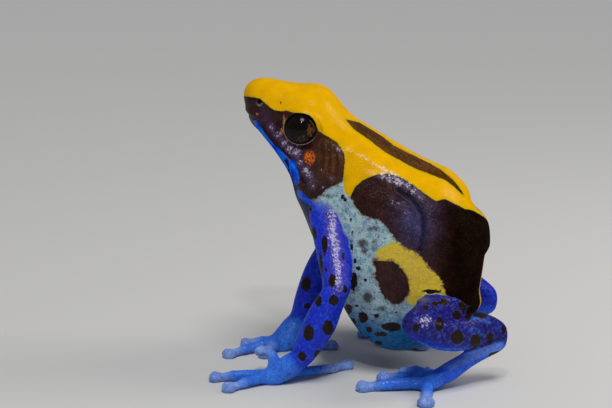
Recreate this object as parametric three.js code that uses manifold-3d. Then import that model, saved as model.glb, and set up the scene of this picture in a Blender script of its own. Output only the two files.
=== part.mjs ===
// A blue poison dart frog sitting up on folded hind legs, as a still, life-size model.
// Millimetres, +Z up. The frog faces -X and its left side is -Y. The floor is Z = 0.
import * as THREE from "three";
import { mergeVertices } from "three/addons/utils/BufferGeometryUtils.js";
import Module from "manifold-3d";

const wasm = await Module();
wasm.setup();

// Driving dimensions
const gap = 0.3; // between two nodes that touch
const eyeRadius = 2.5;
const eyeOpening = 2.15;
const earRadius = 1.05;
const armRadius = 2.35;
const legRadius = 2.6;
const fingerRadius = 0.7;
const toeRadius = 0.78;
const soleHeight = 0.4; // of a digit's tip over the floor, so that its disc has a small flat
const lipRadius = 0.42;

// The side outline, from snout to vent: a point on the back and one on the belly at each station,
// the half width there, how far down the widest point lies, and how square the section is.
const stations = {
  lip: { back: [-15.7, 40.6], belly: [-15.75, 37.2], halfWidth: 2.1, widest: 0.55, square: 2.1 },
  nostrils: { back: [-13.8, 41.65], belly: [-14.9, 35.4], halfWidth: 3.5, widest: 0.62, square: 2.3 },
  muzzle: { back: [-11.1, 41.25], belly: [-12.75, 32.85], halfWidth: 4.8, widest: 0.68, square: 2.5 },
  eyes: { back: [-8.1, 40.7], belly: [-10.75, 30.15], halfWidth: 5.9, widest: 0.7, square: 2.6 },
  brow: { back: [-5.3, 40.85], belly: [-9.25, 27.4], halfWidth: 6.5, widest: 0.68, square: 2.5 },
  ears: { back: [-3.3, 39.2], belly: [-8.9, 24.9], halfWidth: 6.8, widest: 0.62, square: 2.4 },
  neck: { back: [-1.5, 36.8], belly: [-7.9, 22.8], halfWidth: 6.9, widest: 0.55, square: 2.3 },
  shoulders: { back: [1.6, 34.7], belly: [-6.6, 19.4], halfWidth: 7.7, widest: 0.52, square: 2.3 },
  chest: { back: [5.9, 32.1], belly: [-4.6, 14.6], halfWidth: 8.9, widest: 0.52, square: 2.3 },
  ribs: { back: [9.8, 29.9], belly: [-2.6, 9.9], halfWidth: 9.8, widest: 0.55, square: 2.3 },
  belly: { back: [13.5, 28.35], belly: [0.2, 5.2], halfWidth: 10.2, widest: 0.56, square: 2.3 },
  sacrum: { back: [15.9, 25.1], belly: [3.9, 2.5], halfWidth: 9.8, widest: 0.52, square: 2.3 },
  hips: { back: [18.65, 21.4], belly: [8.2, 2.7], halfWidth: 8.6, widest: 0.48, square: 2.2 },
  pelvis: { back: [18.65, 16.2], belly: [12.6, 5.0], halfWidth: 6.6, widest: 0.46, square: 2.2 },
  rump: { back: [18.0, 11.4], belly: [16.4, 7.4], halfWidth: 3.4, widest: 0.5, square: 2.0 },
};
const snoutTip = [-16.15, 38.9];
const vent = [17.9, 8.6];

// Joints of the left limbs. The right hind leg mirrors the left, the right arm has a pose of its own.
const leftShoulder = new THREE.Vector3(-4.4, -5.6, 23.2);
const leftElbow = new THREE.Vector3(-2.6, -11.3, 13.8);
const leftWrist = new THREE.Vector3(-7.7, -10.1, 3.7);
const leftPalm = new THREE.Vector3(-11.3, -9.6, 1.0);
const rightShoulder = new THREE.Vector3(-4.4, 5.6, 23.2);
const rightElbow = new THREE.Vector3(-4.2, 10.8, 14.8);
const rightWrist = new THREE.Vector3(-8.6, 8.9, 4.1);
const rightPalm = new THREE.Vector3(-11.3, 6.5, 1.0);
const hip = new THREE.Vector3(14.2, -4.6, 11.3);
const knee = new THREE.Vector3(8.1, -16.2, 10.4);
const heel = new THREE.Vector3(19.6, -9.6, 7.2);
const ankle = new THREE.Vector3(12.4, -11.6, 2.1);
const instep = new THREE.Vector3(9.9, -12.3, 1.0);

// Digits run from the middle of the palm or instep through a joint to the tip.
const leftFingers = [
  [[-5.2, -6.6, 0.85], [-0.9, -2.6, soleHeight]],
  [[-12.2, -6.9, 3.9], [-14.2, -6.1, 3.2]],
  [[-16.1, -9.5, 0.95], [-20.6, -9.6, soleHeight]],
  [[-14.6, -12.1, 0.95], [-18.2, -14.7, soleHeight]],
];
const rightFingers = [
  [[-7.4, 6.0, 0.85], [-3.0, 6.8, soleHeight]],
  [[-12.6, 3.6, 1.2], [-13.8, 1.0, soleHeight]],
  [[-15.2, 4.2, 0.95], [-19.4, 1.2, soleHeight]],
  [[-14.6, 7.2, 0.95], [-17.4, 6.9, soleHeight]],
];
const leftToes = [
  [[10.6, -8.4, 1.0], [9.4, -6.0, soleHeight]],
  [[8.4, -8.8, 1.7], [6.4, -6.6, soleHeight]],
  [[6.8, -9.9, 1.0], [3.0, -8.6, soleHeight]],
  [[5.6, -12.9, 1.0], [0.1, -13.2, soleHeight]],
  [[9.6, -16.2, 1.0], [9.3, -20.4, soleHeight]],
];

// Colours
const skinBlue = new THREE.MeshStandardMaterial({ color: 0x2a3fc4, roughness: 0.35, metalness: 0 });
const paleBlue = new THREE.MeshStandardMaterial({ color: 0x6f9be0, roughness: 0.4, metalness: 0 });
const yellow = new THREE.MeshStandardMaterial({ color: 0xe6a90c, roughness: 0.35, metalness: 0 });
const flank = new THREE.MeshStandardMaterial({ color: 0x2a1c1a, roughness: 0.4, metalness: 0 });
const throatBlue = new THREE.MeshStandardMaterial({ color: 0x1f4fc8, roughness: 0.35, metalness: 0 });
const eyeBlack = new THREE.MeshStandardMaterial({ color: 0x0a0706, roughness: 0.08, metalness: 0 });
const earOrange = new THREE.MeshStandardMaterial({ color: 0xa5431a, roughness: 0.45, metalness: 0 });

const up = new THREE.Vector3(0, 0, 1);
const mirrored = (v) => new THREE.Vector3(v.x, -v.y, v.z);
const vector = ([x, y, z]) => new THREE.Vector3(x, y, z);

// A closed geometry as a solid for joining and cutting.
function solid(geometry) {
  const bare = geometry.clone();
  bare.deleteAttribute("normal");
  bare.deleteAttribute("uv");
  const merged = mergeVertices(bare, 1e-4);
  const corners = merged.index.array;
  const kept = [];
  for (let i = 0; i < corners.length; i += 3) {
    const [a, b, c] = corners.slice(i, i + 3);
    if (a !== b && b !== c && c !== a) kept.push(a, b, c);
  }
  return new wasm.Manifold(
    new wasm.Mesh({
      numProp: 3,
      vertProperties: merged.attributes.position.array,
      triVerts: new Uint32Array(kept),
    }),
  );
}

// The largest closed body of a solid, so that a scrap cut loose is dropped.
function largest(manifold) {
  const bodies = manifold.decompose();
  bodies.sort((a, b) => b.volume() - a.volume());
  return bodies[0];
}

function join(...solids) {
  return solids.reduce((whole, piece) => whole.add(piece));
}

function toMesh(name, manifold, material) {
  const cut = largest(manifold).getMesh();
  const geometry = new THREE.BufferGeometry();
  geometry.setAttribute("position", new THREE.BufferAttribute(cut.vertProperties, cut.numProp));
  geometry.setIndex(new THREE.BufferAttribute(cut.triVerts, 1));
  geometry.computeVertexNormals();
  const mesh = new THREE.Mesh(geometry, material);
  mesh.name = name;
  return mesh;
}

// Rings of equal point count joined into a closed skin, with a pole at each end.
function loft(rings, firstPole, lastPole) {
  const sides = rings[0].length;
  const at = (ring, side) => 1 + ring * sides + (side % sides);
  const last = 1 + rings.length * sides;
  const faces = [];
  for (let side = 0; side < sides; side++) {
    faces.push(0, at(0, side + 1), at(0, side));
    for (let ring = 0; ring + 1 < rings.length; ring++) {
      faces.push(at(ring, side), at(ring, side + 1), at(ring + 1, side + 1));
      faces.push(at(ring, side), at(ring + 1, side + 1), at(ring + 1, side));
    }
    faces.push(last, at(rings.length - 1, side), at(rings.length - 1, side + 1));
  }
  const geometry = new THREE.BufferGeometry().setFromPoints([firstPole, ...rings.flat(), lastPole]);
  geometry.setIndex(faces);
  return solid(geometry);
}

// The whole of head and trunk, through the stations. Grown by a clearance it cuts what touches it.
function bodySolid(grown = 0, sides = 28, stepsPerSpan = 2) {
  const list = Object.values(stations);
  const back = new THREE.CatmullRomCurve3(list.map((s) => new THREE.Vector3(s.back[0], 0, s.back[1])));
  const belly = new THREE.CatmullRomCurve3(list.map((s) => new THREE.Vector3(s.belly[0], 0, s.belly[1])));
  const girth = new THREE.CatmullRomCurve3(
    list.map((s) => new THREE.Vector3(s.halfWidth, s.widest * 10, s.square)),
  );
  const rings = [];
  const spans = (list.length - 1) * stepsPerSpan;
  for (let step = 0; step <= spans; step++) {
    const t = step / spans;
    const top = back.getPoint(t);
    const bottom = belly.getPoint(t);
    const shape = girth.getPoint(t);
    const depth = top.distanceTo(bottom);
    const rise = top.clone().sub(bottom).normalize();
    const middle = top.clone().addScaledVector(rise, (-shape.y / 10) * depth);
    const upper = (shape.y / 10) * depth + grown;
    const lower = (1 - shape.y / 10) * depth + grown;
    const width = shape.x + grown;
    const ring = [];
    for (let side = 0; side < sides; side++) {
      const angle = (side / sides) * Math.PI * 2;
      const across = Math.sin(angle);
      const along = Math.cos(angle);
      const round = (value) => Math.sign(value) * Math.abs(value) ** (2 / shape.z);
      const point = middle.clone().addScaledVector(rise, round(along) * (along > 0 ? upper : lower));
      point.y = -round(across) * width;
      ring.push(point);
    }
    rings.push(ring);
  }
  const nose = new THREE.Vector3(snoutTip[0] - grown, 0, snoutTip[1]);
  const tail = new THREE.Vector3(vent[0] + grown / 2, 0, vent[1] - grown);
  return loft(rings, nose, tail);
}

// A round limb through its points, with domed ends. Each station is [point, radius, flatness].
function limb(spans, grown = 0, { sides = 12, steps = 7, facing = up, domeSteps = 2 } = {}) {
  const line = new THREE.CatmullRomCurve3(spans.map(([point]) => point));
  const size = new THREE.CatmullRomCurve3(
    spans.map(([, radius, flatness = 1]) => new THREE.Vector3(radius, flatness, 0)),
  );
  const rings = [];
  const addRing = (centre, tangent, radius, flatness) => {
    const across = facing.clone().cross(tangent).normalize();
    const rise = tangent.clone().cross(across);
    const ring = [];
    for (let side = 0; side < sides; side++) {
      const angle = (side / sides) * Math.PI * 2;
      const point = centre.clone();
      point.addScaledVector(across, Math.cos(angle) * radius);
      point.addScaledVector(rise, Math.sin(angle) * radius * flatness);
      ring.push(point);
    }
    rings.push(ring);
  };
  const dome = (t, sign) => {
    const centre = line.getPoint(t);
    const tangent = line.getTangent(t);
    const { x: radius, y: flatness } = size.getPoint(t);
    const full = radius + grown;
    const turns = Array.from({ length: domeSteps }, (_, i) => ((i + 1) / (domeSteps + 1)) * (Math.PI / 2));
    if (sign < 0) turns.reverse();
    for (const turn of turns) {
      const ringCentre = centre.clone().addScaledVector(tangent, sign * Math.sin(turn) * full);
      addRing(ringCentre, tangent, Math.cos(turn) * full, flatness);
    }
    return centre.addScaledVector(tangent, sign * full);
  };
  const first = dome(0, -1);
  for (let step = 0; step <= steps; step++) {
    const t = step / steps;
    const { x: radius, y: flatness } = size.getPoint(t);
    const fullFlatness = flatness + (grown / radius) * (1 - flatness);
    addRing(line.getPoint(t), line.getTangent(t), radius + grown, fullFlatness);
  }
  const last = dome(1, 1);
  return loft(rings, first, last);
}

// An ellipsoid of three radii, turned by a basis of three directions.
function bead(centre, radii, basis, segments = [14, 9]) {
  const geometry = new THREE.SphereGeometry(1, segments[0], segments[1]);
  const place = new THREE.Matrix4();
  if (basis) place.makeBasis(...basis);
  place.scale(new THREE.Vector3(...radii));
  place.setPosition(centre);
  return solid(geometry.applyMatrix4(place));
}

// A round bar from one point towards another, for bores.
function bar(from, to, radius, sides = 16) {
  const length = from.distanceTo(to);
  const direction = to.clone().sub(from).normalize();
  const geometry = new THREE.CylinderGeometry(radius, radius, length, sides);
  geometry.applyQuaternion(new THREE.Quaternion().setFromUnitVectors(new THREE.Vector3(0, 1, 0), direction));
  const middle = from.clone().lerp(to, 0.5);
  geometry.translate(middle.x, middle.y, middle.z);
  return solid(geometry);
}

// A finger or toe with its broad end disc and the pair of scutes on top of the disc.
function digit(root, [joint, tip], radius, grown = 0) {
  const end = vector(tip);
  const bend = vector(joint);
  const disc = radius * 1.75;
  const towards = end.clone().sub(bend).normalize();
  const side = up.clone().cross(towards).normalize();
  const rise = towards.clone().cross(side);
  const basis = [towards, side, rise];
  const shaft = limb(
    [
      [root, radius * 1.15],
      [root.clone().lerp(bend, 0.55), radius],
      [bend, radius * 0.95],
      [end.clone().addScaledVector(towards, -disc), radius * 0.82],
      [end.clone().addScaledVector(towards, -disc * 0.4), radius * 0.7],
    ],
    grown,
    { sides: 6, steps: 5, domeSteps: 1 },
  );
  const padCentre = end.clone().addScaledVector(towards, -disc * 0.6);
  const padRadii = [disc * 0.85 + grown, disc + grown, radius * 0.78 + grown];
  let whole = shaft.add(bead(padCentre, padRadii, basis, [8, 5]));
  for (const sideways of [-1, 1]) {
    const scute = padCentre.clone().addScaledVector(side, sideways * disc * 0.46);
    scute.addScaledVector(rise, radius * 0.42).addScaledVector(towards, disc * 0.12);
    const scuteRadii = [disc * 0.6 + grown, disc * 0.4 + grown, radius * 0.5 + grown];
    whole = whole.add(bead(scute, scuteRadii, basis, [6, 4]));
  }
  return whole;
}

const standing = (manifold) => manifold.trimByPlane([0, 0, 1], 0);

// Digits in turn, each cut clear of the pad it grows from and of the digits before it.
function digits(prefix, pad, root, list, radius, material) {
  const cutters = [pad];
  return list.map((joints, index) => {
    let piece = digit(root, joints, radius);
    for (const cutter of cutters) piece = piece.subtract(cutter);
    cutters.push(digit(root, joints, radius, gap));
    return toMesh(`${prefix}_${index + 1}`, standing(piece), material);
  });
}

const palmSpans = (wrist, palm) => [
  [wrist, armRadius * 0.66, 0.95],
  [wrist.clone().lerp(palm, 0.55), armRadius * 0.74, 0.82],
  [palm, armRadius * 0.88, 0.56],
];

function arm(side, shoulder, elbow, wrist, palm, fingers, bodyCutter) {
  const facing = new THREE.Vector3(-1, 0, 0);
  const upperSpans = [
    [shoulder, armRadius * 1.12],
    [shoulder.clone().lerp(elbow, 0.5), armRadius],
    [elbow, armRadius * 0.86],
  ];
  const foreSpans = [
    [elbow, armRadius * 0.84],
    [elbow.clone().lerp(wrist, 0.4), armRadius * 1.04],
    [elbow.clone().lerp(wrist, 0.75), armRadius * 0.92],
    [wrist, armRadius * 0.72],
  ];
  const upper = (grown) => limb(upperSpans, grown, { facing });
  const fore = (grown) => limb(foreSpans, grown, { facing });
  const hand = (grown) => limb(palmSpans(wrist, palm), grown, { steps: 6 });
  return [
    toMesh(`upper_arm_${side}`, upper(0).subtract(bodyCutter), skinBlue),
    toMesh(`forearm_${side}`, fore(0).subtract(upper(gap)).subtract(bodyCutter), skinBlue),
    toMesh(`hand_${side}`, standing(hand(0).subtract(fore(gap))), paleBlue),
    ...digits(`finger_${side}`, join(hand(gap), fore(gap)), palm, fingers, fingerRadius, paleBlue),
  ];
}

function leg(side, place, toes, bodyCutter) {
  const [hipAt, kneeAt, heelAt, ankleAt, instepAt] = [hip, knee, heel, ankle, instep].map(place);
  const thighSpans = [
    [hipAt, legRadius * 1.08],
    [hipAt.clone().lerp(kneeAt, 0.5), legRadius],
    [kneeAt.clone().addScaledVector(up, 0.2), legRadius * 0.82],
  ];
  const shankSpans = [
    [kneeAt, legRadius * 0.88],
    [kneeAt.clone().lerp(heelAt, 0.36).addScaledVector(up, -0.4), legRadius * 1.12],
    [kneeAt.clone().lerp(heelAt, 0.72).addScaledVector(up, -0.1), legRadius * 0.92],
    [heelAt, legRadius * 0.62],
  ];
  const tarsusSpans = [
    [heelAt.clone().addScaledVector(up, -1.1), legRadius * 0.56],
    [heelAt.clone().lerp(ankleAt, 0.5).addScaledVector(up, -0.4), legRadius * 0.5],
    [ankleAt, legRadius * 0.6],
  ];
  const footSpans = [
    [ankleAt, legRadius * 0.6, 0.9],
    [instepAt, legRadius * 0.74, 0.6],
  ];
  const thigh = (grown) => limb(thighSpans, grown);
  const shank = (grown) => limb(shankSpans, grown);
  const tarsus = (grown) => limb(tarsusSpans, grown, { steps: 7 });
  const foot = (grown) => limb(footSpans, grown, { steps: 5 });
  return [
    toMesh(`thigh_${side}`, thigh(0).subtract(bodyCutter).subtract(shank(gap)), skinBlue),
    toMesh(`shank_${side}`, shank(0).subtract(bodyCutter), skinBlue),
    toMesh(`tarsus_${side}`, standing(tarsus(0).subtract(shank(gap))), paleBlue),
    toMesh(`foot_${side}`, standing(foot(0).subtract(tarsus(gap))), paleBlue),
    ...digits(`toe_${side}`, join(foot(gap), tarsus(gap)), instepAt, toes, toeRadius, paleBlue),
  ];
}

// The head's features on one side: -1 left, 1 right.
const eyeCentre = (side) => new THREE.Vector3(-7.9, side * 4.9, 35.3);
const gaze = (side) => new THREE.Vector3(-0.12, side, 0.16).normalize();
const earCentre = (side) => new THREE.Vector3(-6.5, side * 6.3, 31.4);
const earAxis = (side) => new THREE.Vector3(-0.1, side, -0.05).normalize();

// The line of the mouth on the left side, from the tip of the snout to its corner.
const mouthLine = [
  [-15.3, 0, 36.3],
  [-14.8, -1.6, 35.8],
  [-12.6, -4.0, 33.65],
  [-10.4, -5.35, 31.4],
  [-8.3, -6.25, 28.6],
  [-6.7, -6.55, 26.0],
].map(vector);

// Both lips as one ridge along the mouth, which the cut of the mouth parts.
function lips(grown = 0) {
  const right = mouthLine.slice(1).map(mirrored);
  const line = [...mouthLine.toReversed(), ...right];
  return limb(
    line.map((point) => [point, lipRadius]),
    grown,
    { sides: 6, steps: 20, domeSteps: 1 },
  );
}

// Lids, ear rings and jaw muscles that stand proud of the head.
function headForms(side, grown = 0) {
  const eye = eyeCentre(side);
  const lids = bead(
    eye.clone().add(new THREE.Vector3(0.15, -side * 0.35, 0.15)),
    [3.25, 2.75, 2.95].map((radius) => radius + grown),
    null,
    [18, 10],
  );
  const ear = new THREE.TorusGeometry(earRadius + gap + 0.28, 0.3 + grown, 6, 18);
  ear.applyQuaternion(new THREE.Quaternion().setFromUnitVectors(up, earAxis(side)));
  const rim = earCentre(side);
  ear.translate(rim.x, rim.y, rim.z);
  const jawMuscle = bead(
    new THREE.Vector3(-6.0, side * 5.5, 27.6),
    [1.6, 1.5, 2.8].map((radius) => radius + grown),
    null,
    [12, 8],
  );
  return join(lids, solid(ear), jawMuscle);
}

// The space under the line of the mouth, moved along Z by half the gap.
function belowMouth(shift) {
  const outline = mouthLine.map(({ x, z }) => new THREE.Vector2(x, z + shift));
  const ahead = new THREE.Vector2(-19, 39.5 + shift);
  const behind = new THREE.Vector2(-4.5, 22.5 + shift);
  const under = new THREE.Vector2(-19, 15);
  outline.unshift(ahead);
  outline.push(behind, new THREE.Vector2(behind.x, under.y), under);
  const halfSpan = 12;
  const geometry = new THREE.ExtrudeGeometry(new THREE.Shape(outline), {
    depth: halfSpan * 2,
    bevelEnabled: false,
  });
  geometry.rotateX(Math.PI / 2);
  geometry.translate(0, halfSpan, 0);
  return solid(geometry);
}

function head(whole) {
  const { back, belly } = stations.neck;
  const slope = new THREE.Vector2(back[0] - belly[0], back[1] - belly[1]).normalize();
  const forward = [-slope.y, 0, slope.x];
  const offset = forward[0] * back[0] + forward[2] * back[1];
  const backward = forward.map((value) => -value);
  const sides = [-1, 1];
  let front = whole.trimByPlane(forward, offset + gap / 2);
  front = join(front, lips(), ...sides.map((side) => headForms(side)));
  front = front.trimByPlane(forward, offset + gap / 2);
  const trunk = whole.trimByPlane(backward, -offset + gap / 2);
  const sockets = sides.map((side) => {
    const eye = eyeCentre(side);
    const out = eye.clone().addScaledVector(gaze(side), 6);
    const ball = bead(eye, Array(3).fill(eyeRadius + gap), null, [18, 12]);
    return ball.add(bar(eye, out, eyeOpening, 18));
  });
  const ears = sides.map((side) => {
    const inner = earCentre(side).addScaledVector(earAxis(side), -1.1);
    const outer = earCentre(side).addScaledVector(earAxis(side), 2);
    return { plug: bar(inner, outer, earRadius), bore: bar(inner, outer, earRadius + gap) };
  });
  const drums = ears.map(({ plug }) => plug.intersect(whole));
  for (const socket of sockets) front = front.subtract(socket);
  for (const { bore } of ears) front = front.subtract(bore);
  for (const side of sides) {
    const inner = new THREE.Vector3(-13.0, side * 1.9, 38.25);
    const outer = new THREE.Vector3(-14.5, side * 4.4, 38.85);
    front = front.subtract(bar(inner, outer, 0.33, 8));
  }
  const rise = gap / 2 / Math.cos(Math.atan2(4, 3));
  const jaw = front.intersect(belowMouth(-rise));
  const skull = front.subtract(belowMouth(rise));
  const eyes = sides.map((side) => bead(eyeCentre(side), Array(3).fill(eyeRadius), null, [18, 12]));
  return [
    toMesh("head", skull, yellow),
    toMesh("lower_jaw", jaw, throatBlue),
    toMesh("torso", trunk, flank),
    toMesh("eye_left", eyes[0], eyeBlack),
    toMesh("eye_right", eyes[1], eyeBlack),
    toMesh("eardrum_left", drums[0], earOrange),
    toMesh("eardrum_right", drums[1], earOrange),
  ];
}

const bodyCutter = join(bodySolid(gap), ...[-1, 1].map((side) => headForms(side, gap)));
const frog = new THREE.Group();
frog.add(...head(bodySolid()));
frog.add(...arm("left", leftShoulder, leftElbow, leftWrist, leftPalm, leftFingers, bodyCutter));
frog.add(...arm("right", rightShoulder, rightElbow, rightWrist, rightPalm, rightFingers, bodyCutter));
const rightToes = leftToes.map((joints) => joints.map(([x, y, z]) => [x, -y, z]));
frog.add(...leg("left", (v) => v.clone(), leftToes, bodyCutter));
frog.add(...leg("right", mirrored, rightToes, bodyCutter));

// The origin is the middle of the footprint, on the floor.
const extent = new THREE.Box3().setFromObject(frog);
const middle = extent.getCenter(new THREE.Vector3());
frog.position.set(-middle.x, -middle.y, 0);

export default frog;
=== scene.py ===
"""A blue poison dart frog in life size, sitting up on folded hind legs.

Lengths in this script are the frog's own millimetres: it faces -X, its left side is -Y, the floor is z = 0
and x = 0 lies just behind its shoulders. `place` turns them into the metres of the frame.

The right half is shaped and coloured as the mirror image of the left one, which the photograph shows. A pair
of numbers is mostly a range in which something changes smoothly, and four are a band: where it rises from and
to, and where it falls from and to.
"""

import math

import bpy
import numpy as np
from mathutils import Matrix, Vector
from mathutils.bvhtree import BVHTree
from mathutils.kdtree import KDTree


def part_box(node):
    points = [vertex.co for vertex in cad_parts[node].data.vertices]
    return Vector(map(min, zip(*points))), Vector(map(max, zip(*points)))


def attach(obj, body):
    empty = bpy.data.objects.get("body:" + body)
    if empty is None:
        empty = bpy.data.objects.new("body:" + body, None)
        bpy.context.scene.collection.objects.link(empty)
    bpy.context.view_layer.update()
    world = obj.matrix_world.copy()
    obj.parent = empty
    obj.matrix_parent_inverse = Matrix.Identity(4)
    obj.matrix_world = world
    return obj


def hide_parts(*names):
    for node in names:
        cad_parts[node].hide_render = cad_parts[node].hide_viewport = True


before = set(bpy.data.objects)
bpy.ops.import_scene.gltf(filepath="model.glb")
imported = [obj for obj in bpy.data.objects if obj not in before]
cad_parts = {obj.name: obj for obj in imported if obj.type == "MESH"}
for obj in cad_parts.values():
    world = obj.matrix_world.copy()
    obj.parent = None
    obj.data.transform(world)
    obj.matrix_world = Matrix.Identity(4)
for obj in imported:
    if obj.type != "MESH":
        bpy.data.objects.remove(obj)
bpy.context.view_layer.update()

MM = 0.001
SNOUT_X = -16.15  # the front end of the head
FRAME_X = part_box("head")[0].x / MM - SNOUT_X
FRAME_Y = (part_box("eye_left")[0].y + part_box("eye_right")[1].y) / 2 / MM

# The photograph's camera, worked out from the frog's outline. Pixels are those of the 612 x 408 photograph.
PHOTO_SIZE = (612, 408)
FOCAL_PIXELS = 1715.0
CAMERA_TURN = math.radians(2)
CAMERA_RISE = math.radians(12)
CAMERA_DISTANCE = 245.0
CAMERA_AIM = (-7.43, 0.0, 23.5)
PIXELS_PER_MM = 7.0
SENSOR_WIDTH = 36.0
NEAR_CLIP = 0.001

# Shapes of the head, left side
EYE = (-7.9, -4.9, 35.3)
EYE_RADIUS = 2.5
GAZE = (-0.08, -1.0, 0.1)
EYE_OPENING = (2.24, 2.1)
EARDRUM_RADII = (0.97, 1.17)
NOSTRIL = (-13.8, -3.6, 38.8)
SNOUT_TIP = (-15.7, 0.0, 40.3)
CHIN_TIP = (-14.9, 0.0, 35.2)
BACK_LINE = 1.2  # half the width of the yellow between the back's stripes
MOUTH_FRONT = [(-15.6, 0, 36.45), (-15.4, -1.2, 36.45), (-15.1, -2.1, 36.4)]
MOUTH_SIDE = [
    (-14.3, -3.4, 36.1), (-13, -4.2, 34.4), (-11.1, -5.3, 32.6), (-9.7, -6.0, 31.5), (-8.6, -6.4, 30),
    (-7.4, -6.7, 28),
]
LIP_FRONT = [(-15.9, 0, 37.2), (-15.7, -1.2, 37.2), (-15.3, -2.3, 37.1)]

# Lines of the head and body in the photograph, in its pixels
CANTHUS_LINE = [(256, 99), (262, 103.5), (268, 108.5), (274, 112), (282, 114.5)]
LORE_LINE = [(263, 113), (270, 118.5), (277, 124)]
MOUTH_LINE = [
    (252.6, 117.8), (255.9, 120), (265.1, 133.4), (273.7, 144.1), (279, 148.6), (288, 156.3),
    (295, 166), (300, 175), (304, 184),
]
UPPER_LIP_LINE = [(257, 115), (269, 131), (278, 141), (287, 148.5), (295, 156), (301, 166), (305, 175)]
BROW_LINE = [(288, 110.5), (295, 109), (303, 109.5), (311, 112.5), (317, 119)]
NECK_FOLD = [(306, 196), (313, 197.5), (321.5, 194), (326, 189), (334, 186), (341, 181)]
NECK_WRINKLES = [
    [(322, 143), (323.5, 155), (322, 168)],
    [(328.5, 147), (330.5, 159), (328.5, 172)],
    [(335, 151), (337.5, 163), (335.5, 176)],
]
FLANK_CREASE = [
    (398.9, 189.5), (410.4, 197.6), (417.3, 205.6), (421.8, 214.8), (423.6, 222.8), (423, 234.3),
    (420.7, 243.5), (419, 250.4),
]
SHOULDER_RIDGE = [(350, 151), (362, 156), (372, 163), (385, 170), (396, 175)]
FLANK_ROLL = [(374, 177), (388, 179), (400, 184), (411, 191), (419, 199)]
ELBOW_CREASE = [(328, 285.5), (333, 290.5), (340, 294), (346, 293.5), (350.5, 291)]
ELBOW_BACK = [(344.5, 303), (343, 310), (340, 318)]
THIGH_CREASE = [(432, 310), (440, 307.5), (452, 306), (463, 308), (472, 311.5)]
TARSUS_CREASE = [(462, 352.5), (475, 349), (490, 343.5), (500, 341.5)]
LEG_STREAKS = [
    [(471, 319.5), (477, 318), (484, 319.5), (490, 323)],
    [(418, 341.5), (424, 344.3), (434, 347.8), (446, 349.6), (458, 349.6), (466, 349)],
    [(482, 334), (478, 330), (470, 329)],
]
NOSTRIL_PIXEL = (259.4, 101.8)
EARDRUM_PIXEL = (309.8, 157.4)
ELBOW_SHIFT = (-1.6, -0.5, 1.0)  # of the right elbow from the left one's mirror image

# Outlines of the colours in the photograph, in its pixels
FACE_EDGE = [
    (225, 95.5), (244.4, 96.3), (252.3, 97), (259.4, 98.4), (264.4, 102), (268.7, 106.3),
    (273.7, 109.9), (280.9, 111.3), (287.3, 110.6), (291.6, 112), (295.1, 112.7), (302.3, 113.1),
    (309.4, 114.9), (313.7, 119.1), (316.6, 126.3), (318.7, 131.3), (323.7, 134.1), (330.9, 138.4),
    (336.6, 142), (340.9, 147.7), (344.4, 154.1), (345.1, 161.3), (343.7, 172), (343.7, 177.7),
]
FLANK_TOP = [
    (350.1, 197), (354.7, 187.2), (363.3, 179.8), (375.9, 174.6), (389.7, 173.4), (403.5, 178.6),
    (415, 186), (426.4, 194.7), (435.6, 201), (444.8, 198.7), (454, 203.3), (465.5, 209),
    (471.2, 209.6), (482.7, 215.9),
]
YELLOW_OUTLINE = [
    *FACE_EDGE, (343.5, 186), (345, 193), *FLANK_TOP, (490, 222), (515, 226), (515, 50), (225, 50),
]
FLANK_PATCH = [
    (350.1, 197), (352, 188), (361, 176), (375, 170), (390, 169), (406, 174), (430, 190), (445, 194),
    (475, 204), (492, 219), (496, 250), (492, 262), (490, 285), (484, 322), (463, 314), (447, 306),
    (444.8, 289.4), (441.9, 280.2), (436.8, 273.9), (429.9, 267.6), (421.8, 257.3), (412.7, 250.4),
    (403.5, 246.4), (395.4, 238.9), (389.7, 232), (385.1, 225.1), (378.2, 219.4), (369, 217.1),
    (361, 213.6), (355.8, 206.7),
]
FACE_MASK = [
    (225, 88), (252, 91), (268, 100), (290, 105), (312, 108), (322, 125), (340, 137), (350, 150),
    (350, 172), (343.7, 176), (343, 180), (338, 184.5), (329.8, 187.4), (325.2, 190), (321.5, 194),
    (316, 198.5), (307, 199), (300, 189), (297, 186), (299.1, 183), (299, 176.6), (297.4, 167.5),
    (291, 159.5), (287, 156.3), (278, 147.7), (265.1, 133.4), (255.9, 119.9), (250, 119), (225, 116),
]
OVAL_PATCH = [
    (374.2, 257.8), (379.4, 260.7), (392, 261.3), (400, 266.4), (406.3, 275.6), (409.2, 284.8),
    (409.2, 291.7), (404.6, 299.7), (397.7, 305.5), (392, 303.2), (385.1, 298.6), (380.5, 291.7),
    (378.2, 282.5), (374.2, 276.8), (375.9, 269.9), (373.6, 263),
]
BACK_STRIPE = [
    (346, 119.5), (360, 123), (376, 131), (384, 138), (394, 146), (408, 153), (427, 162), (441, 170),
    (452, 179), (461, 190), (464, 196), (455, 187), (445, 179.5), (433, 175), (415, 168), (398, 159),
    (384, 151), (370, 140), (354, 129),
]
JAW_BAND = [
    (252.6, 121.3), (262, 134.5), (272.3, 148.4), (280.9, 162), (286.8, 169.9), (288.5, 168),
    (284, 160.5), (287.5, 157), (278, 147.9), (273.7, 144.3), (265.1, 133.8), (256.4, 120.1),
]
THROAT_BAND = [
    (289, 160), (289, 170), (292.4, 178.2), (294.5, 184.9), (298.7, 183.2), (299, 176.6),
    (297.4, 167.5), (293, 158.5),
]
CHEST_WEDGE = [
    (296.6, 189), (297.8, 196.5), (301.6, 199.8), (307.4, 204), (314, 203), (307.4, 197.3),
    (300.7, 191.5),
]
FLANK_YELLOW = [
    (376, 250.5), (384, 246), (394, 241), (403.5, 244), (413, 246), (424, 255), (433, 265), (443, 278),
    (449, 289), (450, 307), (428, 307), (415, 306), (408, 304), (406, 298), (404, 285), (399, 270),
    (390, 264), (379.4, 263), (375, 257),
]
HIP_TOP = [(457, 280), (492, 280), (492, 311), (470, 309), (463, 301.5), (457, 297)]
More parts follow.
